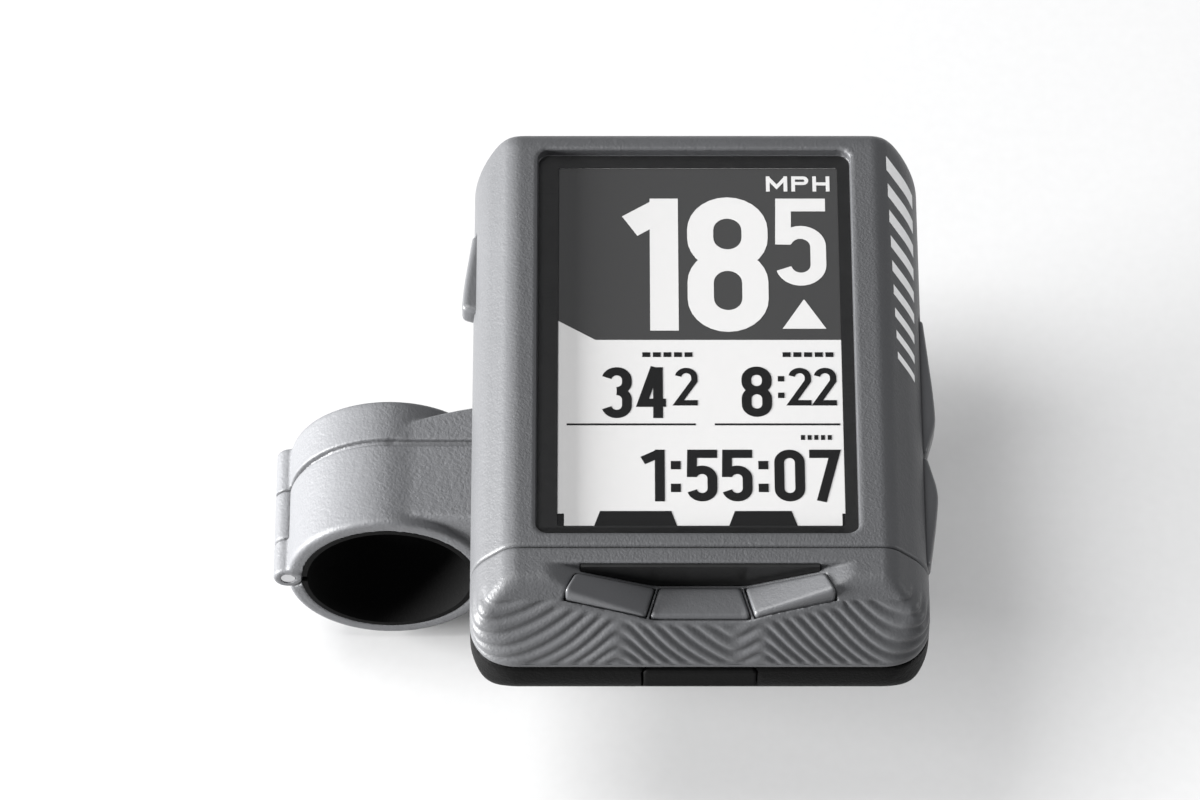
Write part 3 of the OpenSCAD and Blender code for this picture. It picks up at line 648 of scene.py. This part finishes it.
def jaw(x, y, z):
    """Lower band with its ear and the middle knuckle, less the bore, the pin's hole and the slot."""
    solid = joined(half_band(x, y, z, -1), clamp_ear(x, y, z, EAR_LOW_Z, -HALF_GAP), 1.2)
    solid = common(solid, z + HALF_GAP)
    low, high = KNUCKLES[0] + GAP, KNUCKLES[1] - GAP
    beside = np.minimum(y - low, high - y)
    solid = cut(solid, common(disc(x - PIN_X, z, KNUCKLE_R + 0.2), beside))
    solid = joined(solid, common(disc(x - PIN_X, z, KNUCKLE_R), between(y, low, high), 0.4), 0.3)
    solid = cut(solid, disc(x, z, BORE_R))
    solid = cut(solid, disc(x - PIN_X, z, JAW_HOLE_R))
    slot = plate(x - SCREW_X - SLOT_RUN / 2, y, 2 * SLOT_R + SLOT_RUN, 2 * SLOT_R, SLOT_R)
    return cut(solid, slot, 0.25)


carve("clamp_jaw", jaw, 0.3, "jaw", "clamp_grey", FRAME_ORIGIN, fine=GROOVE_FINE)

# %% [markdown]
# ## The socket ring
# The ring closes the cup over the lugs of the computer's puck. Two notches let the lugs in, and after
# a quarter of a turn they are under the ring. It could be a lathe form with the notches cut by a
# modifier. As a field the notches get the same rounded edges as the rest in one step.

# %% Socket ring
RING_IN_R, NOTCH_R, NOTCH_HALF_TURN, MM_PER_DEGREE = 12.08, 14.8, 33, 0.25
RING_SCREW_AT, RING_SHAFT_R, RING_HEAD_R, RING_HEAD_DEEP = 16.5, 1.1, 1.7, 1.2


def ring(x, y, z):
    """A ring over the puck's lugs, with two notches that let them in and four screw counterbores."""
    u, v = x - home[0], y - home[1]
    r = np.hypot(u, v)
    solid = common(r - CUP_R, between(z, ring_low[2] + 0.02, ring_high[2]), 0.6)
    solid = cut(solid, r - RING_IN_R, 0.3)
    turn = np.abs(np.degrees(np.arctan2(np.abs(v), np.abs(u))))
    notch = common(r - NOTCH_R, (turn - NOTCH_HALF_TURN) * MM_PER_DEGREE, 0.6)
    solid = cut(solid, notch, 0.3)
    for a in np.radians([45, 135, 225, 315]):
        d = disc(u - RING_SCREW_AT * math.cos(a), v - RING_SCREW_AT * math.sin(a), 0)
        head = common(d - RING_HEAD_R, ring_high[2] - RING_HEAD_DEEP - z)
        solid = cut(cut(solid, d - RING_SHAFT_R), head, 0.15)
    return solid


carve("socket_ring", ring, 0.24, "mount", "shell_black", FRAME_ORIGIN)

# %% [markdown]
# ## The port's cover
# The cover is a soft rubber flap that rolls about its lower edge, with a plug that seals the port.
# The face and the round hinge meet in a plain join here: a smoothed one would swell past the wall.

# %% Port cover
HINGE_R, HINGE_Z = 0.45, 3.4


def flap(x, y, z):
    """A thin rounded plate on a round hinge, with the plug that seals the port."""
    deep = y + LENGTH / 2
    half = FLAP_HALF - GAP
    face = common(plate(x, z - 4.98, 2 * half, 3.14, 0.5), between(deep, 0, 2 * HINGE_R), 0.3)
    hinge = common(disc(deep - HINGE_R, z - HINGE_Z, HINGE_R), np.abs(x) - half, 0.15)
    plug = common(plate(x, z - 5, 6.8, 1.6, 0.7), between(deep, 0.8, 1.7), 0.2)
    return joined(joined(face, hinge), plug, 0.1)


carve("port_cover", flap, 0.11, "port_cover", "rubber")

# %% [markdown]
# ## The picture on the display
# The digits are strokes: a flat ribbon carried along a path of straight lines and arcs. Each glyph
# fills a box of a given width and height. The numbers are ordinary readings: a speed, a distance and
# two times. The dark block behind the speed has one slanted corner, and a dark bar with light tabs
# closes the picture at the bottom. An image could be laid on the panel, but strokes stay sharp.

# %% Strokes
def arc(cx, cy, rx, ry, start, end, count=15):
    """Points on an ellipse between two angles in degrees, y downwards."""
    a = np.radians(np.linspace(start, end, count))
    return np.stack([cx + rx * np.cos(a), cy + ry * np.sin(a)], axis=1)


def ribbon(path, width, closed=False):
    """Left and right edges of a flat stroke along a path, mitred at each point."""
    p = np.asarray(path, float)
    before = p - np.roll(p, 1, axis=0)
    after = np.roll(p, -1, axis=0) - p
    if not closed:
        before[0], after[-1] = after[0], before[-1]
    before /= np.linalg.norm(before, axis=1)[:, None]
    after /= np.linalg.norm(after, axis=1)[:, None]
    along = before + after
    along /= np.linalg.norm(along, axis=1)[:, None]
    across = np.stack([-along[:, 1], along[:, 0]], axis=1)
    mitre = 1 / np.maximum((along * after).sum(axis=1), 0.45)
    half = across * (mitre * width / 2)[:, None]
    return p + half, p - half


def ink(path, width, z_low, z_high, closed=False):
    """A stroke as a thin closed solid: four corners of its section, carried along the path."""
    left, right = ribbon(path, width, closed)
    section = [np.column_stack([e, np.full(len(e), z)]) for e, z in
               ((left, z_high), (right, z_high), (right, z_low), (left, z_low))]
    n = len(left)
    points = np.concatenate(section)
    rows = np.arange(n if closed else n - 1)
    follow = (rows + 1) % n
    quads = [np.stack([rows + a * n, rows + b * n, follow + b * n, follow + a * n], axis=1)
             for a, b in ((0, 1), (1, 2), (2, 3), (3, 0))]
    if not closed:
        quads.append(np.array([[0, 3 * n, 2 * n, n], [n - 1, 2 * n - 1, 3 * n - 1, 4 * n - 1]]))
    return points, np.concatenate(quads)

# %% [markdown]
# ## Characters
# A font would do, but its outlines belong to somebody. A dozen characters made of lines and arcs are
# enough here, and the stroke's width can be chosen for each reading. Only 0 and 8 have closed strokes.

# %% Characters
def glyph(sign, w, h, t):
    """Paths of a character in a box w wide and h high, drawn with a stroke t wide, y downwards."""
    x0, x1, y0, y1 = t / 2, w - t / 2, t / 2, h - t / 2
    r = (x1 - x0) / 2
    mid, waist = w / 2, 0.47 * h
    ry = min(r, (waist - y0) / 2)
    top, bottom = y0 + ry, y1 - ry
    half = (waist - y0) / 2

    def bends(*arcs):
        """Arcs round the middle, one after the other: each one's height and its two angles."""
        return np.concatenate([arc(mid, height, r, ry, start, end) for height, start, end in arcs])

    return {
        "0": [bends((top, 180, 360), (bottom, 0, 180))],
        "1": [[(x1, 0), (x1, h)], [(x1, t * 0.42), (0.0, 0.21 * h)]],
        "2": [[*bends((top, 190, 360)), (x1, top + 0.1 * h), (x0, y1), (w, y1)]],
        "3": [bends((top, 195, 360), (waist - ry, 0, 90)),
              bends((waist + ry, 270, 360), (bottom, 0, 165))],
        "4": [[(0.74 * w, 0), (0.74 * w, h)], [(0.66 * w, 0), (x0 * 1.4, 0.7 * h), (w, 0.7 * h)]],
        "5": [[(w, y0), (x0 * 1.1, y0), (x0, waist + 0.06 * h)],
              bends((waist - 0.08 * h + ry, 205, 360), (bottom, 0, 165))],
        "7": [[(0, y0), (x1, y0), (0.38 * w, h)]],
        "8": [bends((top, 180, 360), (waist - ry, 0, 180)),
              bends((waist + ry, 180, 360), (bottom, 0, 180))],
        "M": [[(x0, h), (x0, 0)], [(x0, y0), (mid, 0.7 * h), (x1, y0)], [(x1, 0), (x1, h)]],
        "P": [[(x0, h), (x0, 0)],
              [(0, y0), *arc(x1 - half, (y0 + waist) / 2, half, half, 270, 450), (0, waist)]],
        "H": [[(x0, 0), (x0, h)], [(x1, 0), (x1, h)], [(0, h / 2), (w, h / 2)]],
        ":": [[(mid, dot * h), (mid, dot * h + t)] for dot in (0.22, 0.66)],
    }[sign]

# %% [markdown]
# ## Setting the readings
# Strokes that cross at one height would have two faces in one plane. So each stroke of a character
# stands a few thousandths of a millimetre higher than the one before it.

# %% Setting the readings
INK_Z = lcd_high[2]
W_LCD, H_LCD = LCD_SIZE
LCD_LEFT, LCD_TOP = LCD[0] - W_LCD / 2, LCD[1] + H_LCD / 2
FIELD_LIFT, INK_LIFT, INK_FOOT, INK_STEP = 0.01, 0.03, 0.002, 0.003
CLOSED = "08"
WIDTHS = {":": 0.42, "1": 0.72, "M": 1.25}


def merge(parts):
    """Several sets of points and faces as one set."""
    offsets = np.cumsum([0] + [len(p) for p, _ in parts[:-1]])
    quads = [q + offset for (_, q), offset in zip(parts, offsets)]
    return np.concatenate([p for p, _ in parts]), np.concatenate(quads)


def add_print(name, parts, slot):
    """Thin solids in the computer's own frame, as one new piece on it."""
    points, quads = merge(parts)
    add_piece(name, points + home, quads, "computer", slot)


def reading(text, left, top, wide, high, stroke, gap):
    """A row of characters from the left, each in a box wide and high, with a gap after it."""
    parts = []
    for sign in text:
        w = wide * WIDTHS.get(sign, 1)
        for number, path in enumerate(glyph(sign, w, high, stroke)):
            place = np.asarray(path, float) + (left, top)
            shown = np.column_stack([LCD_LEFT + place[:, 0], LCD_TOP - place[:, 1]])
            lift = INK_LIFT + INK_STEP * number
            parts.append(ink(shown, stroke, INK_Z + INK_FOOT, INK_Z + lift, sign in CLOSED))
        left += w + gap
    return parts


def patch(corners, lift):
    """A flat area with four corners, as a thin closed solid, turned anticlockwise by its area."""
    p = np.array([(LCD_LEFT + x, LCD_TOP - y) for x, y in corners])
    after = np.roll(p, -1, axis=0)
    if (p[:, 0] * after[:, 1] - p[:, 1] * after[:, 0]).sum() < 0:
        p = p[::-1]
    points = np.concatenate([np.column_stack([p, np.full(4, INK_Z + v)]) for v in (INK_FOOT, lift)])
    quads = np.array([[4, 5, 6, 7], [3, 2, 1, 0], [0, 1, 5, 4], [1, 2, 6, 5], [2, 3, 7, 6], [3, 0, 4, 7]])
    return points, quads


def block(x0, y0, x1, y1, lean=0.0):
    """A patch from x0 to x1 and y0 to y1, whose lower edge is longer by lean at each end."""
    return patch([(x0, y0), (x1, y0), (x1 + lean, y1), (x0 - lean, y1)], INK_LIFT)

# %% [markdown]
# ## The picture's pieces
# Places on the display are in millimetres from its upper left corner, downwards. The dark field
# carries the speed in the pale finish, and everything else is dark on the pale panel.

# %% The picture's pieces
SPEED_LOW, CORNER_LOW, CORNER_RUN = 28.1, 25.0, 5.0
dark_block = [patch([(0, 0), (0, CORNER_LOW), (CORNER_RUN, SPEED_LOW), (CORNER_RUN, 0)], FIELD_LIFT),
              patch([(CORNER_RUN, 0), (CORNER_RUN, SPEED_LOW), (W_LCD, SPEED_LOW), (W_LCD, 0)], FIELD_LIFT)]
add_print("display_speed_field", dark_block, "liquid_crystal")
speed = reading("1", 9.6, 5.0, 9.0, 21.6, 3.8, 0) + reading("8", 17.3, 4.8, 10.8, 22.0, 3.5, 0)
speed += reading("5", 29.1, 5.0, 6.8, 14.3, 2.1, 0) + reading("MPH", 28.0, 1.3, 2.3, 2.5, 0.5, 0.55)
speed.append(patch([(29.9, 26.3), (35.7, 26.3), (32.85, 21.6), (32.75, 21.6)], INK_LIFT))
add_print("display_speed", speed, "liquid_crystal")
BAR_TOP, BAR_END, BAR_LEAN = 55.2, 0.9, 0.8
LABELS = ((11.2, 18.2, 30.1), (29.8, 36.9, 30.1), (32.0, 36.4, 43.3))
DASHES, DASH_GAP, DASH_TALL = 5, 0.35, 0.75
lines = reading("34", 5.8, 32.5, 4.0, 8.1, 1.3, 0.5) + reading("2", 15.5, 32.6, 3.0, 6.0, 0.85, 0)
lines += reading("8", 24.3, 32.4, 4.0, 8.0, 1.3, 0) + reading(":22", 28.9, 32.6, 3.0, 6.0, 0.85, 0.35)
lines += reading("1:55:07", 11.2, 45.6, 4.0, 8.1, 1.3, 0.6)
for left, right, top in LABELS:
    edges = np.linspace(left, right, DASHES + 1)
    lines += [block(a, top, b - DASH_GAP, top + DASH_TALL) for a, b in zip(edges[:-1], edges[1:])]
lines += [block(1.2, 41.45, 18.2, 41.75), block(20.7, 41.45, 37.2, 41.75)]
lines += [block(5.6, BAR_TOP, 14.9, H_LCD, BAR_LEAN), block(23.2, BAR_TOP, 30.6, H_LCD, BAR_LEAN)]
lines += [block(0, BAR_TOP + 0.4, BAR_END, H_LCD), block(W_LCD - 0.4, BAR_TOP + 0.4, W_LCD, H_LCD)]
add_print("display_readings", lines, "black_gloss")

# %% [markdown]
# ## The mark on the right flank
# The real part has a name there. This one has slanting bars that shrink towards the rider, printed on
# the flank. A flat plate would stand off the rounded edges, so each is a small grid of points that
# settles onto the flank's own field.

# %% Printed bars
ROWS, COLUMNS = 9, 5
BAR_COUNT, BAR_FIRST_Y, BAR_WIDE, BAR_SHRINK, BAR_SPACE, BAR_SLANT = 9, 32.5, 2.3, 0.15, 2.0, 0.9


def printed_bar(y, wide, reach_in, reach_out):
    """A thin skin on the right flank, across its slope from reach_in to reach_out."""
    u, v = np.meshgrid(np.linspace(reach_in, reach_out, ROWS), np.linspace(-0.5, 0.5, COLUMNS),
                       indexing="ij")
    p = np.stack([WIDTH / 2 - BEVEL + u, y + v * wide + (BEVEL / 2 - u) * BAR_SLANT, THICK - u], axis=-1)
    p = p.reshape(-1, 3)
    top = settle(pillow, p, 0.02)
    low = settle(pillow, p, -0.04)
    count = ROWS * COLUMNS
    n = np.arange(count).reshape(ROWS, COLUMNS)
    face = grid_faces(n)
    rim = np.concatenate([n[0, :], n[1:, -1], n[-1, -2::-1], n[-2:0:-1, 0]])
    side = np.stack([rim, np.roll(rim, -1), np.roll(rim, -1) + count, rim + count], axis=1)
    return np.concatenate([top, low]), np.concatenate([face, face[:, ::-1] + count, side])


bars = []
bar_y = BAR_FIRST_Y
for number in range(BAR_COUNT):
    bar_width = BAR_WIDE - BAR_SHRINK * number
    bars.append(printed_bar(bar_y, bar_width, 0.7 + 0.1 * number, 4.7 - 0.1 * number))
    bar_y -= bar_width + BAR_SPACE
add_print("flank_mark", bars, "white_plastic")

# %% [markdown]
# ## Writing shader maths as Python
# A material is a graph of nodes. A small class wraps an output socket, so that an expression such as
# `1 - mask * 0.3` adds the Math nodes it needs. One method adds any other node.

# %% Sockets and graphs
class Out:
    """An output socket that takes part in expressions on numbers."""

    def __init__(self, graph, socket):
        self.graph, self.socket = graph, socket

    def math(self, operation, *values):
        """A Math node on this socket and other values."""
        return self.graph.node("ShaderNodeMath", {"operation": operation}, [self, *values])

    def __add__(self, v):
        return self.math("ADD", v)

    def __sub__(self, v):
        return self.math("SUBTRACT", v)

    def __rsub__(self, v):
        return self.graph.node("ShaderNodeMath", {"operation": "SUBTRACT"}, [v, self])

    def __mul__(self, v):
        return self.math("MULTIPLY", v)

    __radd__ = __add__
    __rmul__ = __mul__


class Graph:
    """A material's nodes, with its Principled shader ready."""

    def __init__(self, name):
        self.material = bpy.data.materials.new(name)
        self.material.use_nodes = True
        self.nodes = self.material.node_tree.nodes
        self.links = self.material.node_tree.links
        self.shader = self.nodes["Principled BSDF"]
        self.place = self.node("ShaderNodeTexCoord", {}, {}, "Object")

    def node(self, kind, settings, values, output=0):
        """Adds a node: its settings first, then values or links for its sockets."""
        made = self.nodes.new(kind)
        for key, value in settings.items():
            setattr(made, key, value)
        for key, value in (values.items() if isinstance(values, dict) else enumerate(values)):
            if isinstance(value, Out):
                self.links.new(value.socket, made.inputs[key])
            else:
                made.inputs[key].default_value = value
        return Out(self, made.outputs[output])

    def set(self, **sockets):
        """Sets or links the shader's own sockets, with underscores for spaces."""
        for key, value in sockets.items():
            socket = self.shader.inputs[key.replace("_", " ")]
            if isinstance(value, Out):
                self.links.new(value.socket, socket)
            else:
                socket.default_value = value

    def noise(self, scale, detail=2.0, rough=0.5):
        """Fractal noise at a scale per metre."""
        return self.node("ShaderNodeTexNoise", {},
                         {"Vector": self.place, "Scale": scale, "Detail": detail, "Roughness": rough})

    def along(self, axis):
        """One component of the object coordinates, 0 for x, 1 for y and 2 for z."""
        return self.node("ShaderNodeSeparateXYZ", {}, [self.place], axis)

    def mix(self, factor, dark, light):
        """Colour between two colours."""
        return self.node("ShaderNodeMix", {"data_type": "RGBA"}, {0: factor, 6: dark, 7: light}, 2)

    def bump(self, height, depth, strength=1.0):
        """Normals bent by a height, with its depth in metres."""
        return self.node("ShaderNodeBump", {}, {"Height": height, "Distance": depth, "Strength": strength})


def grey(v, tint=0.0):
    """A nearly neutral colour, a little bluer with more tint."""
    return (v * (1 - tint), v * (1 - tint / 2), v * (1 + tint), 1)

# %% [markdown]
# ## Moulded plastics
# The housing, the keys and the clamp are spark-eroded mouldings: the mould leaves a fine even grain
# that keeps the gloss low. Handling polishes it a little, so the roughness drifts slowly. An image of
# grain would have to be laid over every curve, and noise in space needs nothing laid.

# %% Plastic
def moulded(name, value, rough, grain=3000, depth=0.0001, drift=0.08, tint=0.03, gloss=0.5):
    """Grained plastic: two sizes of grain in the bump, a slow drift in colour and in roughness."""
    g = Graph(name)
    fine = g.noise(grain, 3, 0.6)
    coarse = g.noise(grain / 3.1, 2)
    slow = g.noise(55, 3)
    wipe = g.noise(210, 4, 0.65)
    shade = g.mix(slow * 0.7 + fine * 0.3, grey(value * 0.88, tint), grey(value * 1.12, tint))
    g.set(Base_Color=shade, Roughness=rough + (wipe - 0.5) * drift + (fine - 0.5) * 0.08,
          Normal=g.bump(fine * 0.6 + coarse * 0.4, depth), Specular_IOR_Level=gloss)
    return g.material


FINISH = {
    "bezel_plastic": moulded("housing_grey", 0.074, 0.42, gloss=0.33),
    "key_grey": moulded("key_grey_satin", 0.082, 0.34, 3600, 0.00006, gloss=0.4),
    "shell_black": moulded("shell_black_grain", 0.004, 0.48, 2600, 0.00014, tint=0.0, gloss=0.04),
    "clamp_grey": moulded("clamp_grey_grain", 0.115, 0.46, 2400, 0.00014, gloss=0.35),
    "rubber": moulded("soft_rubber", 0.005, 0.72, 3000, 0.00008, tint=0.0, gloss=0.05),
    "white_plastic": moulded("white_moulding", 0.72, 0.5),
    "chip_black": moulded("chip_epoxy", 0.02, 0.55, tint=0.0),
    "foam": moulded("foam", 0.03, 0.9, 1600, tint=0.0),
    "antenna_ceramic": moulded("ceramic", 0.5, 0.55),
    "flex_film": moulded("flex_film", 0.2, 0.35),
}

# %% [markdown]
# ## The display
# A reflective display is a pale grey sheet behind a fine grid of cells. The inks are the same sheet
# switched dark. The grid is faint: a slightly darker line every fifth of a millimetre. Modelled cells
# would be thousands of squares, and the remainder of a coordinate gives the same lines.

# %% Display finishes
CELL, CELL_FILL = 0.0002, 0.86


def display(name, value, warm=0.0):
    """Pale or dark liquid crystal with its grid of cells and a little mottling."""
    g = Graph(name)
    across, along = [(g.along(axis) * (1 / CELL)).math("FRACT").math("GREATER_THAN", CELL_FILL)
                     for axis in (0, 1)]
    line = across.math("MAXIMUM", along)
    mottle = g.noise(900, 2)
    amount = line * 0.5 + mottle * 0.3
    high = (value * (1 + warm), value, value * (1 - warm), 1)
    low = (value * 0.86, value * 0.86, value * 0.86, 1)
    g.set(Base_Color=g.mix(amount, high, low), Roughness=0.42 + mottle * 0.06, Specular_IOR_Level=0.12)
    return g.material


def clear_window():
    """A clear hard-coated window: mostly see-through, with faint wipe marks in its gloss."""
    g = Graph("clear_window")
    wipe = g.noise(160, 4, 0.7)
    g.set(Base_Color=(0.02, 0.02, 0.022, 1), Roughness=0.07 + wipe * 0.08, Alpha=0.07, IOR=1.5)
    g.material.blend_method = "BLEND"
    return g.material


def gloss_black():
    """Printed black with a slight orange-peel."""
    g = Graph("printed_black")
    peel = g.noise(700, 2)
    g.set(Base_Color=g.mix(peel, grey(0.006), grey(0.010)), Roughness=0.3 + peel * 0.1,
          Normal=g.bump(peel, 0.000004, 0.3))
    return g.material


def printed_white():
    """Pad-printed white ink, slightly uneven."""
    g = Graph("printed_white")
    spread = g.noise(1500, 3)
    g.set(Base_Color=g.mix(spread, grey(0.74), grey(0.86)), Roughness=0.4 + spread * 0.15)
    return g.material


FINISH["liquid_crystal"] = display("crystal_light", 0.72, 0.01)
FINISH["window_glass"] = clear_window()
FINISH["black_gloss"] = gloss_black()
OWN_FINISH = {
    "display_speed_field": display("crystal_dark", 0.054),
    "display_readings": display("crystal_black", 0.009),
    "flank_mark": printed_white(),
}

# %% [markdown]
# ## Metal, board and battery
# Screws and the pin are turned stainless steel, with fine marks round their axis. The board has
# copper under its mask, so its colour is blotchy along straight lines. Noise squeezed along one axis
# gives the marks and a brick pattern gives the tracks, so neither needs an image.

# %% Metals and electronics
def metal(name, colour, rough, stretch=(1, 1, 14)):
    """Metal with fine drawn lines: noise squeezed along one axis bends the normals and the gloss."""
    g = Graph(name)
    lines = g.node("ShaderNodeMapping", {}, {"Vector": g.place, "Scale": stretch})
    streak = g.node("ShaderNodeTexNoise", {}, {"Vector": lines, "Scale": 1400.0, "Detail": 3.0})
    low = tuple(c * 0.82 for c in colour[:3]) + (1,)
    g.set(Base_Color=g.mix(streak, low, colour), Metallic=1.0, Roughness=rough + streak * 0.16,
          Normal=g.bump(streak, 0.00001, 0.6))
    return g.material


def board():
    """Green solder mask over copper tracks."""
    g = Graph("solder_mask")
    tracks = g.node("ShaderNodeTexBrick", {}, {"Vector": g.place, "Scale": 420.0, "Mortar Size": 0.03}, 1)
    g.set(Base_Color=g.mix(tracks, (0.012, 0.10, 0.04, 1), (0.03, 0.2, 0.08, 1)),
          Roughness=0.35 + g.noise(800) * 0.1)
    return g.material


FINISH["steel"] = metal("turned_steel", (0.62, 0.62, 0.63, 1), 0.26)
FINISH["brass"] = metal("buzzer_brass", (0.68, 0.5, 0.24, 1), 0.34)
FINISH["battery_foil"] = metal("battery_foil", (0.7, 0.71, 0.74, 1), 0.4)
FINISH["board_green"] = board()
print(len(FINISH) + len(OWN_FINISH), "finishes")

# %% [markdown]
# ## Dressing the pieces
# The record gives each node a slot, and each new piece was given one when it was made. A slot has one
# finish, and three prints that share a slot with something of another colour have their own.

# %% Dress every piece
slot_of = {entry["node"]: entry["material_slot"] for entry in frame["record"]["subparts"]}


def dress(piece, material):
    """Gives a piece one material in all its slots."""
    if not piece.data.materials:
        piece.data.materials.append(material)
    for index in range(len(piece.data.materials)):
        piece.data.materials[index] = material


for node_name, node_object in frame["nodes"].items():
    dress(node_object, FINISH[slot_of[node_name]])
for piece, slot in new_pieces:
    dress(piece, OWN_FINISH.get(piece.name, FINISH[slot]))
print(len(frame["nodes"]), "nodes and", len(new_pieces), "new pieces dressed")

# %% [markdown]
# ## Floor
# The floor is a plain pale sheet a millimetre under the lowest point, wide enough to fill the view.

# %% Floor
def floor_sheet(height, size):
    """A flat sheet of 2 by 2 faces under the object."""
    x, y = np.meshgrid(np.linspace(-size, size, 3), np.linspace(-size, size, 3), indexing="ij")
    mesh = bpy.data.meshes.new("floor")
    points = np.column_stack([x.ravel(), y.ravel(), np.full(9, height)])
    mesh.from_pydata(points.tolist(), [], grid_faces(np.arange(9).reshape(3, 3)).tolist())
    sheet = put("floor", mesh)
    g = Graph("floor_paper")
    tooth = g.noise(600, 3)
    g.set(Base_Color=g.mix(tooth, grey(0.54), grey(0.57)), Roughness=0.9, Specular_IOR_Level=0.1)
    mesh.materials.append(g.material)
    print("floor", 2 * size, "wide at", height)


floor_sheet(cad_low[2] - 0.001, 3.0)

# %% [markdown]
# ## Camera
# The camera looks down at the display over the rider's end, 34 degrees off its normal, from far
# enough away that the sides stay nearly parallel. The computer is right of the middle.

# %% Camera
TILT = math.radians(34)
DISTANCE = 0.85
FRAME_WIDTH = 0.158
middle = Vector((home + (-13, -5, THICK)).tolist()) * MM
back = Vector((0, -math.sin(TILT), math.cos(TILT)))
camera = put("camera", bpy.data.cameras.new("camera"))
camera.data.lens = camera.data.sensor_width * DISTANCE / FRAME_WIDTH
camera.data.clip_start, camera.data.clip_end = 0.01, 20
camera.location = middle + back * DISTANCE
camera.rotation_mode = "QUATERNION"
camera.rotation_quaternion = back.to_track_quat("Z", "Y")
bpy.context.scene.camera = camera
print("camera at", list(camera.location), "lens", camera.data.lens)

# %% [markdown]
# ## Lights
# A wide soft light stands low on the left and gives the left flank and the clamp their bright sides.
# A weak one overhead lifts the face, and a small one on the right keeps that flank from going black.

# %% Lights
def soft_light(name, place, width, height, power):
    """A rectangular area light that faces the computer's face."""
    data = bpy.data.lights.new(name, "AREA")
    data.shape = "RECTANGLE"
    data.size, data.size_y, data.energy = width, height, power
    light = put(name, data)
    light.location = place
    light.rotation_mode = "QUATERNION"
    light.rotation_quaternion = (Vector(place) - middle).to_track_quat("Z", "Y")
    print(name, width, "by", height, "at", power, "watts")


soft_light("window_light", (-1.7, -0.2, 0.27), 1.2, 0.5, 195)
soft_light("ceiling_light", (-0.42, 0.12, 0.9), 0.5, 0.5, 8)
soft_light("right_glint", (0.7, -0.02, 0.12), 0.1, 0.1, 0.9)
world = bpy.data.worlds.new("studio")
world.use_nodes = True
world.node_tree.nodes["Background"].inputs["Color"].default_value = (0.96, 0.97, 1.0, 1)
world.node_tree.nodes["Background"].inputs["Strength"].default_value = 0.3
bpy.context.scene.world = world
bpy.context.scene.view_settings.view_transform = "Standard"
